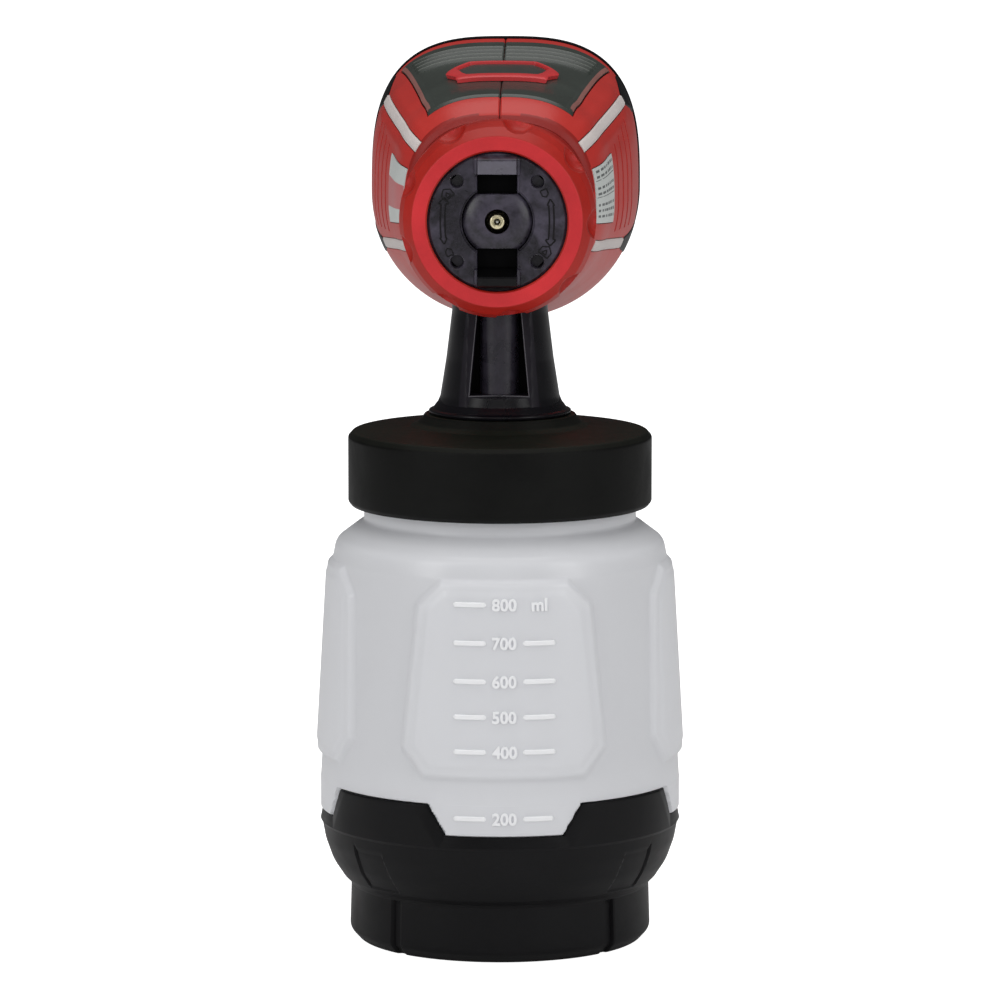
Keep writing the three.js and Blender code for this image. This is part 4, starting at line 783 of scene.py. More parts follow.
# painted light and shade on the cap: the index holes and the recesses beside the dome get the painted shadow, the upper
# horn's face the lit grey, and the lower horn the plain satin black, darker than the sheened face, as shade
for p in face.data.polygons:
    x_, y_, z_ = p.center.x / MM, p.center.y / MM, p.center.z / MM - LIFT - HEAD
    hole = min(math.hypot(x_ - sx_ * 12.233, z_ - sz_ * 12.233) for sx_ in (-1, 1) for sz_ in (-1, 1))
    if hole < 1.75 and y_ > -40.3:
        p.material_index = 1
    if abs(x_) > EAR - 0.05 or math.hypot(x_, z_) > 20.9 or y_ > -37.9:
        continue
    if 8.4 < z_ < 14.25 or -16.6 < z_ < -8.4:
        p.material_index = 1
    elif 14.7 < z_ < 18.6:
        p.material_index = 2
    elif z_ < -16.6:
        p.material_index = 3
ob = join_objects([face] + wires, "air_cap_fine")
place(ob, "air_cap", "air_cap")

# ------------------------------------------------------------------ nozzle and needle
noz = [(1.5, -14.3), (5.3, -14.3), (5.3, -28.2), (7.6, -28.2, 0.3), (7.6, -32.0, 0.5), (4.6, -35.0), (2.25, -40.2), (2.2, -42.0, 0.25), (1.55, -42.2, 0.1), (0.95, -41.6), (0.95, -40.0), (1.5, -38.6)]
ob = revolve("fluid_nozzle_fine", fil(noz, seg=4), 96, BRASS, axis="y", centre=(0, HEAD))
place(ob, "gun", "fluid_nozzle")
ndl = [(0, -42.0), (0.45, -41.6), (0.7, -41.0), (0.7, -39.6), (1.1, -38.0), (1.1, 7.6), (4.6, 7.6, 0.2), (4.6, 8.8, 0.2), (1.1, 8.8), (1.1, 31.2), (0.9, 31.4), (0, 31.4)]
ob = revolve("fluid_needle_fine", fil(ndl, closed=False, seg=3), 48, STEEL, axis="y", centre=(0, HEAD), closed=False)
place(ob, "needle", "fluid_needle")

# ------------------------------------------------------------------ housing
BODY = [(-5, 29.0, 29.4, 25.6), (3, 31.8, 34.3, 29.4), (22, 35.2, 37.3, 34.0), (56, 41.6, 42.6, 39.8), (75, 43.0, 45.6, 42.0), (89.5, 43.1, 47.6, 42.5)]
# a smooth curve through the rows
_by = np.array([r[0] for r in BODY], float)


def hermite(y, k):
    v = np.array([r[k] for r in BODY], float)
    m_ = np.gradient(v, _by)
    y = np.clip(y, _by[0], _by[-1])
    i = np.clip(np.searchsorted(_by, y) - 1, 0, len(_by) - 2)
    x0, x1 = _by[i], _by[i + 1]
    t = (y - x0) / (x1 - x0)
    h_ = x1 - x0
    return ((2 * t**3 - 3 * t**2 + 1) * v[i] + (t**3 - 2 * t**2 + t) * h_ * m_[i] + (-2 * t**3 + 3 * t**2) * v[i + 1] + (t**3 - t**2) * h_ * m_[i + 1])


def body_r(th, y, grow=0.0):
    """Radius of the housing at polar angle th (from +X, anticlockwise seen from the front) and y."""
    w, top, low = hermite(y, 1) + grow, hermite(y, 2) + grow, hermite(y, 3) + grow
    c, s_ = np.abs(np.cos(th)), np.abs(np.sin(th))
    up = np.sin(th) > 0
    b = np.where(up, top, low)
    n = np.where(up, np.minimum(2.95, 2.5 + (y + 5) * 0.013), 2.05)
    return ((c / w) ** n + (s_ / b) ** n) ** (-1 / n)


def body_pt(th, y, out=0.0):
    r = body_r(th, y) + out
    return np.stack([r * np.cos(th), y + 0 * th, HEAD + r * np.sin(th)], -1)


def theta_at_z(z, y):
    """Polar angle on the right side where the surface is at height z from the axis."""
    lo, hi = np.full_like(y, -1.4), np.full_like(y, 1.4)
    for _ in range(30):
        mid = (lo + hi) / 2
        zz = body_r(mid, y) * np.sin(mid)
        lo = np.where(zz < z, mid, lo)
        hi = np.where(zz < z, hi, mid)
    return (lo + hi) / 2


def theta_at_x(x, y):
    """Polar angle on the upper right where the surface is x from the centre plane."""
    lo, hi = np.full_like(y, 0.2), np.full_like(y, math.pi / 2)
    for _ in range(30):
        mid = (lo + hi) / 2
        xx = body_r(mid, y) * np.cos(mid)
        hi = np.where(xx < x, mid, hi)
        lo = np.where(xx < x, lo, mid)
    return (lo + hi) / 2


def stepped(values, eps):
    """Adds a line just before and just after each step."""
    out = []
    for v, is_step in values:
        out += [v - eps, v + eps] if is_step else [v]
    return out


UP, LOWA = math.radians(37.8), math.radians(-21.5)
STRIP_HALF = 2.0
TAB_FRONT = {UP: 68.0, LOWA: 49.0}
y_marks = [(-5, 0), (-4.6, 0), (-4.0, 0), (-3.25, 1), (-2.7, 1), (1.75, 1), (3.95, 1), (16.9, 1), (23.2, 1), (48.25, 1), (53.6, 1), (67.25, 1), (79.0, 1), (82.25, 1), (89.0, 0), (89.5, 0)]
GROOVES = (30, 37, 44, 51)
for gy in GROOVES:
    y_marks += [(gy - 0.85, 1), (gy + 0.85, 1)]
yl = sorted(stepped(y_marks, 0.06))
full = []
for a, b in zip(yl[:-1], yl[1:]):
    k = max(1, int(math.ceil((b - a) / 0.8)))
    full += list(a + (b - a) * np.arange(k) / k)
yl = np.array(full + [yl[-1]])


def panel_half(y):
    return 22.4 + (33.0 - 22.4) * (y - 4.2) / (77.5 - 4.2)


def label_low(y):
    return -4.0 - 1.9 * (y + 2.5) / 25.5


def label_high(y):
    return 12.8 + 2.9 * (y + 2.5) / 25.5


def half_shell(side):
    SEAMH = 0.15
    r0 = body_r(np.full_like(yl, math.pi / 2), yl)
    seam_t = math.pi / 2 - SEAMH / r0
    seam_b = -math.pi / 2 + SEAMH / body_r(np.full_like(yl, -math.pi / 2), yl)
    slot = np.full_like(yl, math.radians(-90 + 14.6))
    neckslot = np.full_like(yl, math.radians(-90 + 30.0))
    d = STRIP_HALF / body_r(np.full_like(yl, UP), yl)
    dl = STRIP_HALF / body_r(np.full_like(yl, LOWA), yl)
    lb = theta_at_z(label_low(yl) - 0.25, yl)
    lt = theta_at_z(label_high(yl) + 0.25, yl)
    gb = theta_at_z(np.full_like(yl, -9.5), yl)
    gt = theta_at_z(18 + (yl - 30) * 0.33, yl)
    after = smooth(yl, 23.6, 28.8)
    lb2 = lb * (1 - after) + gb * after
    lt2 = lt * (1 - after) + gt * after
    lt2 = np.minimum(lt2, UP - d - 0.05)
    lb2 = np.maximum(lb2, LOWA + dl + 0.05)
    pe = theta_at_x(panel_half(yl) + 0.25, yl)
    e = 0.06 / 38
    lines = []

    def fill(a, b, k):
        for i in range(k):
            lines.append(a + (b - a) * i / k)

    fill(seam_b, seam_b + 0.5 / 38, 4)
    fill(seam_b + 0.5 / 38, slot - e, 10)
    fill(slot - e, slot + e, 1)
    fill(slot + e, neckslot, 9)
    fill(neckslot, LOWA - dl - e, 22)
    fill(LOWA - dl - e, LOWA - dl + e, 1)
    fill(LOWA - dl + e, LOWA + dl - e, 4)
    fill(LOWA + dl - e, LOWA + dl + e, 1)
    fill(LOWA + dl + e, lb2 - e, 8)
    fill(lb2 - e, lb2 + e, 1)
    fill(lb2 + e, lt2 - e, 30)
    fill(lt2 - e, lt2 + e, 1)
    fill(lt2 + e, UP - d - e, 10)
    fill(UP - d - e, UP - d + e, 1)
    fill(UP - d + e, UP + d - e, 4)
    fill(UP + d - e, UP + d + e, 1)
    fill(UP + d + e, pe - e, 14)
    fill(pe - e, pe + e, 1)
    fill(pe + e, seam_t - 0.5 / 40, 44)
    fill(seam_t - 0.5 / 40, seam_t, 4)
    lines.append(seam_t)
    T = np.array(lines)  # (nu, nv)
    Yg = np.repeat(yl[None, :], len(lines), 0)
    r = body_r(T, Yg)
    disp = np.zeros_like(r)
    # soft facets: a raised ridge each side of the upper strip and a flat between it and the panel
    disp += 0.55 * np.exp(-(((T - UP) * r - 4.2) / 2.2) ** 2) * smooth(Yg, -4, 4) * (1 - smooth(Yg, 58, 67))
    disp += 0.35 * np.exp(-(((T - UP) * r + 4.4) / 2.0) ** 2) * smooth(Yg, -2, 6) * (1 - smooth(Yg, 58, 67))
    # rounded front lip
    disp -= 1.4 * (1 - smooth(Yg, -5.0, -3.2)) ** 1.5
    # rear edge
    disp -= 0.3 * smooth(Yg, 88.9, 89.5)
    # seats
    in_panel = (T > pe[None, :]) & (Yg > 3.95) & (Yg < 82.25)
    disp = np.where(in_panel, -1.5, disp)
    in_strip = (np.abs(T - UP) < d[None, :]) & (Yg > -3.25) & (Yg < 67.25)
    disp = np.where(in_strip, -1.4, disp)
    in_low = (np.abs(T - LOWA) < dl[None, :]) & (Yg > 1.75) & (Yg < 48.25)
    disp = np.where(in_low, -1.4, disp)
    in_label = (T > lb2[None, :]) & (T < lt2[None, :]) & (Yg > -2.7) & (Yg < 23.2)
    disp = np.where(in_label, -0.6, disp)
    for gy in GROOVES:
        g = (T > lb2[None, :]) & (T < lt2[None, :]) & (np.abs(Yg - gy) < 0.85)
        disp = np.where(g, -1.2, disp)
    # corners where the rear cap shows
    for ang in (UP, LOWA):
        s = (T - ang) * r
        yf_ = TAB_FRONT[ang]
        tri = poly_sdf(s, Yg, [(-2.0, yf_), (2.0, yf_), (6.2, 84), (6.2, 96), (-6.2, 96), (-6.2, 84)])
        disp = np.where(tri < -0.6, -1.6, disp)
    # rounded seam edges
    sd = np.minimum((seam_t[None, :] - T) * r, (T - seam_b[None, :]) * r)
    disp -= 0.35 * (1 - smooth(sd, 0.0, 0.5))
    if side < 0:
        # counterbore of the lower front screw
        hx, hy = None, None
        X_ = r * np.cos(T)
        Z_ = HEAD + r * np.sin(T)
        dist = np.hypot(Yg - 22.6, Z_ - 196.6)
        disp = np.where((T < 0) & (dist < 3.7), disp - 5.0 * (1 - smooth(dist, 3.3, 3.6)), disp)
    ro = r + disp
    outer = np.stack([side * ro * np.cos(T), Yg, HEAD + ro * np.sin(T)], -1)
    ri = body_r(T, Yg, -2.4)
    ri = np.minimum(ri, ro - 0.7)
    inner = np.stack([side * ri * np.cos(T), Yg, HEAD + ri * np.sin(T)], -1)
    mask = np.ones((T.shape[0] - 1, T.shape[1] - 1), bool)
    tc = (T[:-1, :-1] + T[1:, 1:]) / 2
    yc = (Yg[:-1, :-1] + Yg[1:, 1:]) / 2
    mask &= ~((tc < math.radians(-90 + 14.6)) & (yc > 53.6) & (yc < 79.0))
    mask &= ~((tc < math.radians(-90 + 30.0)) & (yc < 16.9))
    ob = patch("shell", outer, inner, mask, RED, 30)
    # painted shade: the lip that meets the collar, the groove floors and the edge of the label's recess get the
    # darkened red that stands for their shade
    ob.data.materials.append(DARK_RED_SHADE)
    for p in ob.data.polygons:
        c = p.center
        x_, y_, z_ = abs(c.x) / MM, c.y / MM, c.z / MM - LIFT - HEAD
        t_ = math.atan2(z_, x_)
        if y_ < -3.9 + 1.5 * abs(math.sin(2 * t_)) ** 2 * (t_ > 0):
            p.material_index = 1
        elif -15 < z_ < 30 and abs(p.normal.y) < 0.7 and min(abs(y_ - gy) for gy in GROOVES) < 0.85:
            if math.hypot(x_, z_) < float(body_r(np.array(t_), np.array(y_))) - 0.6:
                p.material_index = 1
        elif -8 < z_ < 18 and -2.8 < y_ < 23.3 and math.hypot(x_, z_) < float(body_r(np.array(t_), np.array(y_))) - 0.2:
            p.material_index = 1
    return ob


REAR = [(89.8, 1.0, 0.30), (90.4, 1.0, 0.50), (94.3, 1.0, 0.5), (95.2, 1.0, 0.35), (97, 0.995, 0.3), (101, 0.985, 0.1), (106, 0.962, 0.0), (112, 0.93, 0.0), (116, 0.896, 0.0), (119, 0.862, 0.0), (120.8, 0.83, 0.0), (121.7, 0.805, 0.0), (122.0, 0.78, 0.0)]
REAR_Y = np.array([r[0] for r in REAR])


def handle_top(x, y):
    """The handle runs up into the housing, and behind that it follows the rear cap's underside."""
    rr = 42.5 * np.interp(y, REAR_Y, [r[1] for r in REAR]) + 0.9
    z = HEAD - np.sqrt(np.clip(rr**2 - x**2, 1, None))
    return np.where(y > 89.9, np.minimum(z, 196), 196)


HANDLE = [(196, 96.0, 18.0, 12.2), (150, 98.4, 15.8, 15.6), (118, 101.4, 15.8, 15.4), (90, 104.8, 17.8, 16.2)]
_hz = np.array([r[0] for r in HANDLE][::-1], float)


def handle_at(z, k):
    v = np.array([r[k] for r in HANDLE][::-1], float)
    m_ = np.gradient(v, _hz)
    z = np.clip(z, _hz[0], _hz[-1])
    i = np.clip(np.searchsorted(_hz, z) - 1, 0, len(_hz) - 2)
    x0, x1 = _hz[i], _hz[i + 1]
    t = (z - x0) / (x1 - x0)
    h_ = x1 - x0
    return ((2 * t**3 - 3 * t**2 + 1) * v[i] + (t**3 - 2 * t**2 + t) * h_ * m_[i] + (-2 * t**3 + 3 * t**2) * v[i + 1] + (t**3 - t**2) * h_ * m_[i + 1])


def handle_loop(th, z, grow=0.0):
    """th from -pi/2 (front) to pi/2 (rear) on the +X side."""
    cy, b, a = handle_at(z, 1), handle_at(z, 2) + grow, handle_at(z, 3) + grow
    n = 2.5
    c, s_ = np.cos(th), np.sin(th)
    x = a * np.sign(c) * np.abs(c) ** (2 / n)
    y = b * np.sign(s_) * np.abs(s_) ** (2 / n)
    return x, cy + y


def half_handle(side):
    th = np.linspace(-math.pi / 2, math.pi / 2, 90)
    zl = np.concatenate([np.linspace(90, 91.6, 8), np.linspace(92, 196, 130)])
    T, Zg = np.meshgrid(th, zl, indexing="ij")
    x, y = handle_loop(T, Zg)
    top = handle_top(x, y)
    Z2 = np.minimum(Zg, top)
    x, y = handle_loop(T, Z2)
    # edge rounding at the bottom
    e = np.clip((91.6 - Zg) / 1.6, 0, 1)
    shrink = 1.6 * (1 - np.sqrt(np.clip(1 - e**2, 0, 1)))
    xi, yi = handle_loop(T, Z2, -1.0)
    nx, ny = (x - xi), (y - yi)
    L = np.maximum(np.hypot(nx, ny), 1e-6)
    nx, ny = nx / L, ny / L
    dd = -shrink
    # grip seat
    seat = (y > 102.6) & (Z2 > 105.4) & (Z2 < 170.6)
    dd = np.where(seat, dd - 0.9, dd)
    # screw counterbores on the left half
    if side < 0:
        for sy, sz in ((101.2, 156), (103.0, 130), (104.5, 101)):
            dist = np.hypot(y - sy, Z2 - sz)
            dd = np.where((dist < 3.8), dd - 4.6 * (1 - smooth(dist, 3.3, 3.65)), dd)
    x, y = x + nx * dd, y + ny * dd
    x = np.maximum(x, 0.15)
    outer = np.stack([side * x, y, Z2], -1)
    # thin inner skin on the seam plane closes the half
    xi2, yi2 = handle_loop(T, Z2, -2.2)
    inner = np.stack([side * np.maximum(np.minimum(xi2, x - 0.5), 0.15), yi2, np.minimum(Z2, 195.5)], -1)
    mask = np.ones((len(th) - 1, len(zl) - 1), bool)
    h1 = patch("handle", outer, inner, mask, RED, 35)
    # floor of the handle
    xb, yb = handle_loop(th, np.full_like(th, 90.0), -1.6)
    xb = np.maximum(xb, 0.15)
    rings = []
    for f, zz in ((1.0, 90.0), (0.75, 90.0), (0.5, 90.0)):
        rings.append(np.stack([side * (xb * f), 104.8 + (yb - 104.8) * f, np.full_like(xb, zz)], -1))
    o = np.array(rings).transpose(1, 0, 2)
    i_ = o.copy()
    i_[..., 2] += 2.0
    h2 = patch("floor", o, i_, np.ones((len(th) - 1, 2), bool), RED, 35)
    # roof under the rear cap
    rings = []
    for f in (1.0, 0.8, 0.6, 0.4, 0.2, 0.02):
        xb, yb = handle_loop(th, np.full_like(th, 186.0), -0.8)
        xb, yb = np.maximum(xb * f, 0.15), 97.0 + (yb - 97.0) * f
        rings.append(np.stack([side * xb, yb, np.minimum(handle_top(xb, yb), 190.0) - 0.5], -1))
    o = np.array(rings).transpose(1, 0, 2)
    i_ = o.copy()
    i_[..., 2] -= 1.6
    h3 = patch("roof", o, i_, np.ones((len(th) - 1, 5), bool), RED, 35)
    return [h1, h2, h3]


for side, name in ((1, "right"), (-1, "left")):
    obs = [half_shell(side)] + half_handle(side)
    ob = join_objects(obs, f"housing_{name}_fine")
    place(ob, "gun", f"housing_{name}")

# ------------------------------------------------------------------ top panel halves, with ribs
for side, name in ((1, "right"), (-1, "left")):
    marks = [4.2, 4.5, 4.9, 81.3, 81.7, 82.0]
    ribs = [57.5, 62.5, 67.5, 72.5]
    for ry in ribs:
        marks += list(ry + np.array([-1.3, -0.95, -0.6, -0.2, 0.2, 0.6, 0.95, 1.3]))
    yy = np.unique(np.round(np.concatenate([np.array(marks), np.arange(5.5, 81.0, 1.0)]), 3))
    u = np.unique(np.round(np.concatenate([[0, 0.006, 0.014, 0.024], np.linspace(0.03, 0.955, 50), [0.965, 0.978, 0.99, 1.0]]), 4))
    U, Yg = np.meshgrid(u, yy, indexing="ij")
    xs = 0.15 + U * (panel_half(Yg) - 0.15)
    T = theta_at_x(xs.ravel(), Yg.ravel()).reshape(xs.shape)
    r = body_r(T, Yg)
    off = np.full_like(r, 0.45)
    edge = np.minimum(np.minimum(Yg - 4.2, 82.0 - Yg), (1 - U) * panel_half(Yg))
    off -= 0.5 * (1 - smooth(edge, 0, 0.8))
    off -= 0.3 * (1 - smooth(U * panel_half(Yg), 0.0, 0.45))
    # sunk field with a pale edge outside it
    off -= 0.35 * smooth(edge, 1.9, 2.4)
    for ry in ribs:
        off += 0.8 * (1 - smooth(np.abs(Yg - ry), 0.35, 1.1)) * smooth(edge, 2.4, 3.2)
    ro = r + off
    outer = np.stack([side * ro * np.cos(T), Yg, HEAD + ro * np.sin(T)], -1)
    ri = r - 1.2
    inner = np.stack([side * ri * np.cos(T), Yg, HEAD + ri * np.sin(T)], -1)
    ob = patch(f"top_panel_{name}_fine", outer, inner, np.ones((len(u) - 1, len(yy) - 1), bool), PANEL, 35)
    place(ob, "gun", f"top_panel_{name}")
    # a pale strip along the panel's side
    yy2 = np.linspace(6.5, 79.5, 60)
    rows_o, rows_i = [], []
    for f in (0.15, 0.5, 1.1, 1.5):
        xs = panel_half(yy2) - f
        T = theta_at_x(xs, yy2)
        o_ = 0.50 if 0.3 < f < 1.3 else 0.40
        r = body_r(T, yy2) + o_
        rows_o.append(np.stack([side * r * np.cos(T), yy2, HEAD + r * np.sin(T)], -1))
        r = body_r(T, yy2) + 0.0
        rows_i.append(np.stack([side * r * np.cos(T), yy2, HEAD + r * np.sin(T)], -1))
    ob = patch(f"panel_border_{name}", np.array(rows_o), np.array(rows_i), np.ones((3, 59), bool), BORDER, 40)
    place(ob, "gun")
    # lighter crests on the four ribs: a painted highlight where the crests catch the light
    crests = []
    for ry in ribs:
        uu = np.linspace(0.6, float(panel_half(ry)) - 3.4, 30)
        rows_o, rows_i = [], []
        for dy, o_ in ((-0.38, 0.72), (-0.2, 0.95), (0.2, 0.95), (0.38, 0.72)):
            T = theta_at_x(uu, np.full_like(uu, ry + dy))
            for store, oo in ((rows_o, o_), (rows_i, 0.3)):
                r = body_r(T, np.full_like(uu, ry + dy)) + oo
                store.append(np.stack([side * r * np.cos(T), np.full_like(uu, ry + dy), HEAD + r * np.sin(T)], -1))
        crests.append(patch("crest", np.array(rows_o), np.array(rows_i), np.ones((3, 29), bool), RIB_HIGHLIGHT, 50))
    ob = join_objects(crests, f"panel_ribs_{name}")
    place(ob, "gun")


def top_pt(x, y, out):
    T = theta_at_x(np.abs(np.atleast_1d(np.array(x, float))), np.atleast_1d(np.array(y, float)))
    r = body_r(T, np.atleast_1d(np.array(y, float))) + out
    return np.stack([np.sign(x) * r * np.cos(T), np.atleast_1d(y) + 0.0, HEAD + r * np.sin(T)], -1)


# badge: a raised frame round a plain plate
outl = [(-13.8, 26), (13.8, 26), (14.1, 30), (17.3, 35.4), (17.1, 37.4), (14.8, 41.4), (10.3, 47.2), (-10.3, 47.2), (-14.8, 41.4), (-17.1, 37.4), (-17.3, 35.4), (-14.1, 30)]
inl = [(-10.3, 30.6), (10.3, 30.6), (11.9, 33.4), (14.0, 40.6), (13.3, 42.2), (9.9, 46.6), (-9.9, 46.6), (-13.3, 42.2), (-14.0, 40.6), (-11.9, 33.4)]


def by_angle(poly, angles, rad=0.7):
    """Points of a rounded outline at given angles about its centre."""
    p = np.array(dense(fil([(a, b, rad) for a, b in poly], seg=5), 0.2))
    a = np.arctan2(p[:, 1] - 38.0, p[:, 0])
    o = np.argsort(a)
    a, p = a[o], p[o]
    a = np.concatenate([a - 2 * np.pi, a, a + 2 * np.pi])
    p = np.concatenate([p, p, p])
    return np.stack([np.interp(angles, a, p[:, 0]), np.interp(angles, a, p[:, 1])], -1)


angs = np.linspace(-np.pi, np.pi, 240, endpoint=False)
PO, PI_ = by_angle(outl, angs), by_angle(inl, angs)
ringrows = []
for f, hh in ((0.0, 0.25), (0.0, 1.5), (0.12, 1.85), (0.3, 1.95), (0.7, 1.95), (0.88, 1.85), (1.0, 1.5), (1.0, 0.25)):
    q = PO + (PI_ - PO) * f
    ringrows.append(top_pt(q[:, 0], q[:, 1], hh))
R_ = np.array(ringrows)
idx = np.arange(R_.shape[0] * R_.shape[1]).reshape(R_.shape[:2])
a_, b_ = idx, np.roll(idx, -1, 1)
faces = np.stack([a_, b_, np.roll(b_, -1, 0), np.roll(a_, -1, 0)], -1).reshape(-1, 4).tolist()
ob = make("badge_frame_fine", R_.reshape(-1, 3), faces, BADGERED, 35)
place(ob, "gun", "badge_frame")
prow = []
for f, hh in ((0.0, 0.25), (0.0, 0.9), (0.06, 1.1), (0.3, 1.15), (0.6, 1.15), (0.85, 1.15), (0.999, 1.15)):
    c0 = np.array([0.01, 38.0])
    q = c0 + (by_angle(inl, angs) * 1.0 - c0) * (1 - f) * 0.972
    prow.append(top_pt(q[:, 0], q[:, 1], hh))
ob = skin_loops("badge_plate_fine", prow, PLATE, 35)
place(ob, "gun", "badge_plate")

# ------------------------------------------------------------------ accent strips
for key, ang, side, y0, y1 in (("ur", UP, 1, -3.0, 67.0), ("ul", UP, -1, -3.0, 67.0), ("lr", LOWA, 1, 2.0, 48.0), ("ll", LOWA, -1, 2.0, 48.0)):
    yy = np.unique(np.concatenate([[y0, y0 + 0.2, y0 + 0.5], np.linspace(y0 + 1, y1 - 1, 90), [y1 - 0.5, y1 - 0.2, y1]]))
    v = np.array([-1.75, -1.6, -1.25, -0.5, 0.0, 0.5, 1.25, 1.6, 1.75])
    V_, Yg = np.meshgrid(v, yy, indexing="ij")
    rb = body_r(np.full_like(Yg, ang), Yg)
    T = ang + V_ / rb
    r = body_r(T, Yg)
    off = 0.42 - 0.35 * smooth(np.abs(V_), 1.2, 1.75)
    e_ = np.minimum(Yg - y0, y1 - Yg)
    off = off - 0.35 * (1 - smooth(e_, 0, 0.5))
    ro = r + off
    outer = np.stack([side * ro * np.cos(T), Yg, HEAD + ro * np.sin(T)], -1)
    ri = r - 1.2
    inner = np.stack([side * ri * np.cos(T), Yg, HEAD + ri * np.sin(T)], -1)
    ob = patch(f"accent_strip_{key}_fine", outer, inner, np.ones((len(v) - 1, len(yy) - 1), bool), PALE, 40)
    place(ob, "gun", f"accent_strip_{key}")


# ------------------------------------------------------------------ labels
def label_patch(name, side, y0, y1, f0, f1, top, bottom, mat, ny=24, nz=24):
    """A patch of the label between y0 and y1 and between fractions f0 and f1 of its height."""
    yy = np.linspace(y0, y1, ny)
    rows_o, rows_i = [], []
    for f in np.linspace(f0, f1, nz):
        z = label_low(yy) + (label_high(yy) - label_low(yy)) * f
        T = theta_at_z(z, yy)
        for store, o_ in ((rows_o, top), (rows_i, bottom)):
            r = body_r(T, yy) + o_
            store.append(np.stack([side * r * np.cos(T), yy, HEAD + r * np.sin(T)], -1))
    return patch(name, np.array(rows_o), np.array(rows_i), np.ones((nz - 1, ny - 1), bool), mat, 40)


ob = label_patch("label_right_fine", 1, -2.5, 23, 0, 1, 0.12, -0.4, LABEL)
place(ob, "gun", "label_right")
ink = []
rng = np.random.default_rng(7)
for k in range(9):
    f = 0.93 - k * 0.1
    y = -0.6
    while y < 21.4:
        w = float(rng.uniform(1.2, 3.6))
        if k not in (2, 5):
            ink.append(label_patch("ink", 1, y, min(y + w, 21.8), f - 0.030, f + 0.012, 0.15, 0.10, INK, 3, 2))
        y += w + float(rng.uniform(0.8, 1.6))
for f in (0.76, 0.46):
    ink.append(label_patch("ink", 1, -1.6, 22.2, f - 0.006, f + 0.006, 0.15, 0.10, INK, 8, 2))
ob = join_objects(ink, "label_right_rules")
place(ob, "gun")
ob = label_patch("label_left_fine", -1, -2.5, 23, 0, 1, 0.12, -0.4, LABEL)
place(ob, "gun", "label_left")
ob = label_patch("label_left_band", -1, -2.35, 22.85, 0.24, 0.68, 0.16, 0.05, LABELRED)
place(ob, "gun")

# ------------------------------------------------------------------ collar behind the ring, flared up to the housing's lip
th = np.radians(np.linspace(-148, 148, 300))
loops = []
for t in th:
    lip = max(28.4, float(body_r(np.array(math.pi / 2 - t), np.array(-5.0))) - 1.7)
    prof_ = [(25.1, -19.6), (26.8, -19.6, 0.4), (28.3, -17.6, 1.0), (28.8, -9.6), (28.8 + 0.25 * (lip - 28.8), -8.9), (28.8 + 0.7 * (lip - 28.8), -7.4), (lip, -6.0), (lip, -5.3), (25.1, -5.3)]
    loops.append([(r * math.sin(t), h_, HEAD + r * math.cos(t)) for r, h_ in fil(prof_, seg=6)])
# painted shade: the collar is drawn in the darkened red, as it lies in shadow behind the ring
ob = skin_loops("head_collar_fine", loops, DARK_RED_SHADE, 30)
place(ob, "gun", "head_collar")

# ------------------------------------------------------------------ soft grip on the handle's rear
th = np.linspace(math.radians(8), math.radians(172), 120)
zl = np.concatenate([[104, 104.3, 104.8], np.linspace(105.6, 170.4, 150), [171.2, 171.7, 172]])
rows_o, rows_i = [], []
for t in th:
    t2 = t if t <= math.pi / 2 else math.pi - t
    sg = 1 if t <= math.pi / 2 else -1
    lim = 0
    x, y = handle_loop(np.full_like(zl, t2), zl)
    xi, yi = handle_loop(np.full_like(zl, t2), zl, -1.0)
    nx, ny = x - xi, y - yi
    L = np.maximum(np.hypot(nx, ny), 1e-6)
    e_ = np.minimum(np.minimum(zl - 104, 172 - zl), min(t - th[0], th[-1] - t) * 16 + 0.0)
    off = 0.85 - 1.2 * (1 - smooth(e_, 0, 0.9))
    grooves = (1 - smooth(np.abs(((zl - 108) % 7.5) - 3.75), 0.35, 0.8)) * ((zl > 110) & (zl < 167)) * smooth(min(t - th[0], th[-1] - t) * 16, 3.0, 4.0)
    off = off - 0.6 * grooves
    rows_o.append(np.stack([sg * (x + nx / L * off), y + ny / L * off, zl], -1))
    off = -0.6
    rows_i.append(np.stack([sg * (x + nx / L * off), y + ny / L * off, zl], -1))
RO, RI = np.array(rows_o), np.array(rows_i)
keep = (RO[..., 1] > 100.4)
RO[..., 1] = np.maximum(RO[..., 1], 100.5)
RI[..., 1] = np.maximum(RI[..., 1], 100.5)
ob = patch("handle_grip_fine", RO, RI, np.ones((len(th) - 1, len(zl) - 1), bool), GRIP, 35)
place(ob, "gun", "handle_grip")

# ------------------------------------------------------------------ rear cap


def rear_r(T, y, inset=0.0):
    sc = np.interp(y, REAR_Y, [r[1] for r in REAR])
    gr = np.interp(y, REAR_Y, [r[2] for r in REAR])
    return body_r(T, np.full_like(T, 89.5)) * sc + gr - inset


tt = np.linspace(-math.pi, math.pi, 480, endpoint=False)
yv = np.unique(np.concatenate([REAR_Y, np.arange(96, 121, 0.6), [96.9, 97.1, 107.9, 108.1]]))
rowsR = []
for y in yv:
    r = rear_r(tt, np.full_like(tt, y))
    X_ = r * np.cos(tt)
    Z_ = r * np.sin(tt)
    if 96 < y < 109:
        for dz in (-13, -5, 3, 11):
            dd = np.maximum(np.abs(Z_ - dz) - 1.5, np.maximum(97.0 - y, y - 108.0))
            inn = (np.abs(X_) > 30) & (dd < 0)
            r = np.where(inn, r - 2.6 * smooth(-dd, 0.0, 0.3), r)
    rowsR.append(np.stack([r * np.cos(tt), np.full_like(tt, y), HEAD + r * np.sin(tt)], -1))
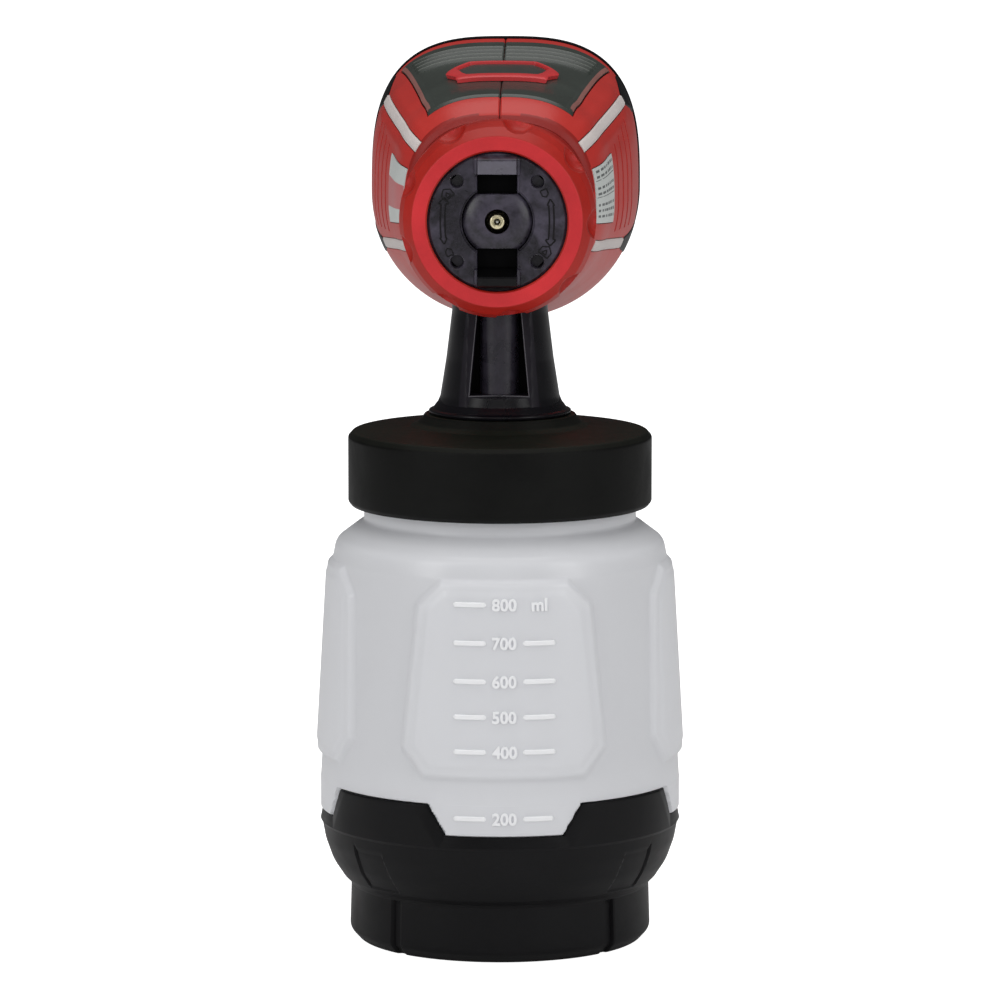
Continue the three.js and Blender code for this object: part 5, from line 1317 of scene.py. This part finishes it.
# the rear opening and the inner wall
for r_, y in ((29.4, 122.0), (29.0, 121.6), (29.0, 119.0)):
    rowsR.append(np.stack([r_ * np.cos(tt), np.full_like(tt, y), HEAD + r_ * np.sin(tt)], -1))
for y in (118.6, 112, 101, 90.2):
    r = rear_r(tt, np.full_like(tt, y), 2.3)
    rowsR.append(np.stack([r * np.cos(tt), np.full_like(tt, y), HEAD + r * np.sin(tt)], -1))
rowsR = np.array(rowsR)
idx = np.arange(rowsR.shape[0] * rowsR.shape[1]).reshape(rowsR.shape[:2])
a_, b_ = idx, np.roll(idx, -1, 1)
faces = np.stack([a_, b_, np.roll(b_, -1, 0), np.roll(a_, -1, 0)], -1).reshape(-1, 4).tolist()
pieces = [make("rear", rowsR.reshape(-1, 3), faces, BLACK, 35)]
# four corners that reach forward over the housing
for ang in (UP, LOWA):
    for side in (1, -1):
        rows_o, rows_i = [], []
        yf_ = TAB_FRONT[ang]
        yy = np.linspace(yf_, 90.3, 40)
        hw = np.interp(yy, [yf_, 84.0, 91.0], [2.0, 6.2, 6.2])
        for v in np.concatenate([[-1, -0.97, -0.9], np.linspace(-0.8, 0.8, 17), [0.9, 0.97, 1]]):
            T = ang + v * hw / body_r(np.full_like(yy, ang), np.minimum(yy, 89.5))
            e_ = np.minimum(hw * (1 - abs(v)), yy - yf_)
            off = 0.30 - 0.25 * (1 - smooth(e_, 0, 0.4))
            r = body_r(T, np.minimum(yy, 89.5)) + off
            rows_o.append(np.stack([side * r * np.cos(T), yy, HEAD + r * np.sin(T)], -1))
            r = body_r(T, np.minimum(yy, 89.5)) - 1.2
            rows_i.append(np.stack([side * r * np.cos(T), yy, HEAD + r * np.sin(T)], -1))
        pieces.append(patch("corner", np.array(rows_o), np.array(rows_i), np.ones((22, 39), bool), BLACK, 35))
ob = join_objects(pieces, "rear_cap_fine")
place(ob, "gun", "rear_cap")

# filter cover with louvres
rs = np.linspace(0.02, 31.2, 105)
nt2 = 420
tha = np.linspace(0, 2 * np.pi, nt2, endpoint=False)
TH, RR = np.meshgrid(tha, rs, indexing="ij")
PX, PZ = RR * np.sin(TH), RR * np.cos(TH)
h = np.full_like(PX, 124.35) - 0.5 * smooth(RR, 29.6, 31.2)
h -= 0.35 * (1 - smooth(np.abs(RR - 26.6), 0.3, 0.7))
for i in range(-2, 3):
    half = math.sqrt(23.5**2 - (i * 8) ** 2)
    d = np.maximum(np.abs(PZ - i * 8) - 2.0, np.abs(PX) - half)
    h -= 2.4 * smooth(-d, -0.1, 0.3)
cols = [np.stack([PX, h, HEAD + PZ], -1)]
for r_, y in ((31.7, 123.4), (31.8, 122.5), (28.6, 122.4), (28.6, 112.7), (28.2, 112.6), (26.8, 112.7), (26.8, 121.5), (0.02, 121.6)):
    cols.append(np.stack([r_ * np.sin(tha), np.full(nt2, y), HEAD + r_ * np.cos(tha)], -1)[:, None, :])
G = np.concatenate(cols, 1)
idx = np.arange(nt2 * G.shape[1]).reshape(nt2, G.shape[1])
nx_ = np.roll(idx, -1, 0)
faces = np.stack([idx, nx_, np.roll(nx_, -1, 1), np.roll(idx, -1, 1)], -1).reshape(-1, 4).tolist()
ob = make("filter_cover_fine", G.reshape(-1, 3), faces, BLACK, 35, merge=0.03)
place(ob, "filter", "filter_cover")
ob = revolve("air_filter_fine", fil([(0, 114.5), (26.2, 114.5, 0.8), (26.2, 121.2, 0.8), (0, 121.2)], closed=False), 96, FOAM, axis="y", centre=(0, HEAD), closed=False)
place(ob, "filter", "air_filter")


# ------------------------------------------------------------------ cord and boot
def tube(name, pts, r, mat, n=32, grooves=None):
    pts = np.array(pts, float)
    tan = np.gradient(pts, axis=0)
    tan /= np.linalg.norm(tan, axis=1)[:, None]
    side = np.array([1.0, 0, 0])
    loops = []
    for p, t in zip(pts, tan):
        u = side - t * (side @ t)
        u /= np.linalg.norm(u)
        v = np.cross(t, u)
        loops.append([p + r * (math.cos(a) * u + math.sin(a) * v) for a in np.linspace(0, 2 * np.pi, n, endpoint=False)])
    return skin_loops(name, loops, mat, 40)


path = [(0, 105, z) for z in np.linspace(95, 46, 12)]
for t in np.linspace(0, 1, 26)[1:]:
    p = (1 - t) ** 2 * np.array([0, 105, 46.0]) + 2 * t * (1 - t) * np.array([0, 105, 17.0]) + t * t * np.array([0, 131, 17.0])
    path.append(tuple(p))
path += [(0, y, 17.0) for y in np.linspace(131, 146, 6)[1:]]
ob = tube("power_cord_fine", path, 3.25, CORD)
place(ob, "gun", "power_cord")
boot = [(3.6, 58, 0.2), (4.7, 58, 0.4)]
for k in range(5):
    z0 = 60.5 + k * 4.4
    rr = 4.95 + k * 0.33
    boot += [(rr, z0, 0.3), (rr - 0.7, z0 + 0.6, 0.3), (rr - 0.7, z0 + 2.0, 0.3), (rr + 0.1, z0 + 2.6, 0.3)]
boot += [(6.5, 82.4, 0.4), (7.6, 84, 0.5), (7.6, 93.3), (10.2, 93.3), (10.2, 94.6), (3.6, 94.6)]
ob = revolve("cord_boot_fine", fil(boot, seg=3), 96, CORD, centre=(0, 105), angle=40)
place(ob, "gun", "cord_boot")

# ------------------------------------------------------------------ trigger: smooth sides, a curved front wall and two cheeks
trig = [(62.6, 204.5, 1.0), (63.4, 207.0, 1.2), (64.9, 208.0, 1.2), (67.1, 208.0, 1.2), (68.6, 207.0, 1.2), (69.4, 204.5, 1.0), (69.4, 192, 8), (70.4, 176, 20), (68.2, 160, 14), (67.4, 151, 3), (66.0, 148.2, 1.4), (62.4, 147.6, 1.4), (60.2, 149.4, 2), (59.2, 156, 10), (57.2, 170, 20), (57, 182, 20), (58.2, 190, 10), (60.2, 198, 8)]
side_out = fil(trig, seg=6)


def slab(points, x0, x1, mat, bev=0.5):
    p = np.array(points)
    c = p.mean(0)
    loops = []
    for x, s in ((x0, bev), (x0 + bev * 0.35, bev * 0.35), (x0 + bev, 0), (x1 - bev, 0), (x1 - bev * 0.35, bev * 0.35), (x1, bev)):
        nrm = p - np.roll(p, 1, 0)
        nx = np.roll(p, -1, 0) - p
        t = nrm / np.maximum(np.linalg.norm(nrm, axis=1)[:, None], 1e-9) + nx / np.maximum(np.linalg.norm(nx, axis=1)[:, None], 1e-9)
        t /= np.maximum(np.linalg.norm(t, axis=1)[:, None], 1e-9)
        nn = np.stack([t[:, 1], -t[:, 0]], -1)
        if ((p + nn * 0.1 - c) ** 2).sum() > ((p - c) ** 2).sum():
            nn = -nn
        q = p + nn * s
        loops.append(np.stack([np.full(len(q), x), q[:, 0], q[:, 1]], -1))
    return skin_loops("slab", loops, mat, 35)


cheek = side_out
pieces = [slab(cheek, 6.6, 9.4, BLACK), slab(cheek, -9.4, -6.6, BLACK)]
zf = np.linspace(148.4, 202, 90)
fo = np.interp(zf, [147.6, 149.4, 156, 170, 182, 190, 198, 204.5], [62.4, 60.4, 59.2, 57.25, 57.0, 58.2, 60.2, 62.2])
fi = np.interp(zf, [148, 152, 158, 170, 182, 190, 198, 202], [64.5, 63.6, 62.2, 60.4, 60.2, 61.2, 63.2, 64.2])
xs = np.linspace(-9.0, 9.0, 30)
bow = 0.0
RO = np.stack([np.stack([np.full_like(zf, x), fo + 0.12 + 0.35 * (abs(x) / 9.0) ** 4, zf], -1) for x in xs])
RI = np.stack([np.stack([np.full_like(zf, x), fi, zf], -1) for x in xs])
slot_mask = np.ones((29, 89), bool)
for i in range(29):
    for j in range(89):
        if abs((xs[i] + xs[i + 1]) / 2) < 3.4 and 193.6 < (zf[j] + zf[j + 1]) / 2 < 199.4:
            slot_mask[i, j] = False
pieces.append(patch("front", RO, RI, slot_mask, BLACK, 35))
ob = join_objects(pieces, "trigger_fine")
place(ob, "trigger", "trigger")

# flow knob: fluted
kp = [(0, 44.6), (5.8, 44.6, 0.8), (7.2, 46.0, 0.8), (7.2, 54.0, 0.6), (6.0, 55.4, 0.4), (1.8, 55.4), (1.8, 66.0), (0, 66.0)]


def knob_mod(TH, R, H):
    f = 0.55 * (0.5 + 0.5 * np.cos(TH * 18)) ** 2
    return np.where((R > 6.0) & (H > 45.4) & (H < 54.6), R - f, R), H


ob = revolve("flow_knob_fine", dense(fil(kp, closed=False, seg=5), 1.0, closed=False), 360, DARK_RED_SHADE, axis="y", centre=(0, 168.0), mod=knob_mod, closed=False, angle=40)
place(ob, "knob", "flow_knob")
ob = revolve("switch_plunger_fine", fil([(0, 62.4), (3.0, 62.4, 1.2), (3.0, 90.6, 0.3), (0, 90.6)], closed=False), 64, GREY, axis="y", centre=(0, 174.0), closed=False)
place(ob, "plunger", "switch_plunger")


# ------------------------------------------------------------------ screws: pan heads with a cross recess
def screw(k, y, z):
    rs_ = np.linspace(0.02, 3.0, 22)
    n = 120
    a = np.linspace(0, 2 * np.pi, n, endpoint=False)
    A, Rr = np.meshgrid(a, rs_, indexing="ij")
    py, pz = Rr * np.cos(A), Rr * np.sin(A)
    hh = -12.0 + 0.5 * smooth(Rr, 2.2, 3.0)
    cross = np.minimum(np.maximum(np.abs(py) - 0.42, np.abs(pz) - 1.8), np.maximum(np.abs(pz) - 0.42, np.abs(py) - 1.8))
    hh = hh + 0.95 * smooth(-cross, -0.05, 0.12)
    cols = [np.stack([hh, y + py, z + pz], -1)]
    for r_, x in ((3.0, -9.6), (1.4, -9.6), (1.4, 7.6), (0.02, 8.2)):
        cols.append(np.stack([np.full(n, x), y + r_ * np.cos(a), z + r_ * np.sin(a)], -1)[:, None, :])
    G = np.concatenate(cols, 1)
    idx = np.arange(n * G.shape[1]).reshape(n, G.shape[1])
    nx_ = np.roll(idx, -1, 0)
    faces = np.stack([idx, nx_, np.roll(nx_, -1, 1), np.roll(idx, -1, 1)], -1).reshape(-1, 4).tolist()
    ob = make(f"housing_screw_{k}_fine", G.reshape(-1, 3), faces, STEELX, 35, merge=0.03)
    place(ob, "gun", f"housing_screw_{k}")


for k, (y, z) in enumerate(((22.6, 196.6), (101.2, 156), (103.0, 130), (104.5, 101)), 1):
    screw(k, y, z)

# ------------------------------------------------------------------ suction tube
path = [(0, 0, z) for z in np.linspace(159.7, 80, 20)]
for t in np.linspace(0, 1, 20)[1:]:
    p = (1 - t) ** 2 * np.array([0, 0, 80.0]) + 2 * t * (1 - t) * np.array([0, 0, 60.0]) + t * t * np.array([0, -9, 42.0])
    path.append(tuple(p))
for t in np.linspace(0, 1, 8)[1:]:
    path.append((0, -9 - 16 * t, 42 - 32 * t))
ob = tube("suction_tube_fine", path, 3.95, TUBE, 40)
place(ob, "dip_tube", "suction_tube")

# ------------------------------------------------------------------ what stays as packed gets its finish
LOOK = {
    "pot_gasket": SEAL, "check_valve_disc": SEAL, "check_valve_cap": GREY, "tube_seal": SEAL, "nozzle_seal": SEAL, "packing_nut": BRASS, "needle_spring": STEEL,
    "spring_cap": BLACK, "motor_can": STEEL, "bearing_front": STEEL, "motor_endbell": BLACK, "bearing_rear": STEEL, "motor_shaft": STEEL, "armature": LAMINATED,
    "impeller": GREY, "motor_mount": GREY, "fan_housing": GREY, "trigger_pin": STEELX, "pull_link": STEEL, "power_switch": BLACK,
}
for n, m in LOOK.items():
    o = NODES[n]
    o.data.materials.clear()
    o.data.materials.append(m)
    o.data.polygons.foreach_set("use_smooth", [True] * len(o.data.polygons))
    o.data.set_sharp_from_angle(angle=math.radians(32))

# ------------------------------------------------------------------ stage, light, camera
def studio_white(name, value):
    m = bpy.data.materials.new(name)
    m.use_nodes = True
    nt = m.node_tree
    p = nt.nodes["Principled BSDF"]
    p.inputs["Base Color"].default_value = (value, value, value, 1)
    p.inputs["Roughness"].default_value = 0.9
    p.inputs["Specular IOR Level"].default_value = 0.0
    lp_ = nt.nodes.new("ShaderNodeLightPath")
    mm_ = nt.nodes.new("ShaderNodeMath")
    mm_.operation = "MULTIPLY"
    mm_.inputs[1].default_value = 1.0
    nt.links.new(lp_.outputs["Is Camera Ray"], mm_.inputs[0])
    p.inputs["Emission Color"].default_value = (1, 1, 1, 1)
    nt.links.new(mm_.outputs[0], p.inputs["Emission Strength"])
    return m


floor_mat = studio_white("floor_pale", 0.80)
verts = [(-9.0, -9.0, -0.0004), (9.0, -9.0, -0.0004), (9.0, 9.0, -0.0004), (-9.0, 9.0, -0.0004)]
faces = [(0, 1, 2, 3)]
me = bpy.data.meshes.new("studio_floor")
me.from_pydata(verts, [], faces)
me.polygons.foreach_set("use_smooth", [True] * len(me.polygons))
me.materials.append(floor_mat)
floor = bpy.data.objects.new("studio_floor", me)
scene.collection.objects.link(floor)


def area(name, loc, target, size, power, size_y=None):
    li = bpy.data.lights.new(name, "AREA")
    li.shape = "RECTANGLE"
    li.size = size
    li.size_y = size_y or size
    li.energy = power
    ob = bpy.data.objects.new(name, li)
    ob.location = loc
    ob.rotation_euler = (Vector(target) - Vector(loc)).to_track_quat("-Z", "Y").to_euler()
    scene.collection.objects.link(ob)
    return ob


area("key_left", (-1.1, -1.0, 0.75), (0, 0, 0.16), 0.5, 5.0, 1.0)
area("key_right", (1.15, -0.95, 0.7), (0, 0, 0.16), 0.5, 4.6, 1.0)
area("top", (0.0, 0.1, 1.5), (0, 0, 0.2), 1.2, 8.0)
area("strip", (0.0, -0.95, 1.2), (0, 0, 0.13), 1.0, 1.1, 0.10)
area("front", (0.1, -2.3, 1.0), (0, 0, 0.2), 0.6, 2.0)

world = bpy.data.worlds.new("studio")
world.use_nodes = True
wn = world.node_tree
bg = wn.nodes["Background"]
bg.inputs["Color"].default_value = (1, 1, 1, 1)
lp = wn.nodes.new("ShaderNodeLightPath")


def wmath(op, a, b, c=None):
    m_ = wn.nodes.new("ShaderNodeMath")
    m_.operation = op
    for k, v in enumerate((a, b) if c is None else (a, b, c)):
        if isinstance(v, (int, float)):
            m_.inputs[k].default_value = v
        else:
            wn.links.new(v, m_.inputs[k])
    return m_.outputs[0]


# the room is white behind the object, softer as a light, and dim in reflections
glossy = wmath("MULTIPLY_ADD", lp.outputs["Is Glossy Ray"], -0.33, 0.38)
wn.links.new(wmath("MULTIPLY_ADD", lp.outputs["Is Camera Ray"], 0.62, glossy), bg.inputs["Strength"])
scene.world = world
scene.view_settings.view_transform = "Standard"
scene.view_settings.look = "None"
scene.view_settings.exposure = 0.0

cam = bpy.data.cameras.new("photo")
cam.lens = 221.0
cam.sensor_width = 36.0
cam.clip_end = 50
co = bpy.data.objects.new("photo", cam)
co.location = (0.040, -1.900, 0.400)
co.rotation_euler = (Vector((0, 0, 0.138)) - Vector(co.location)).to_track_quat("-Z", "Y").to_euler()
scene.collection.objects.link(co)
scene.camera = co
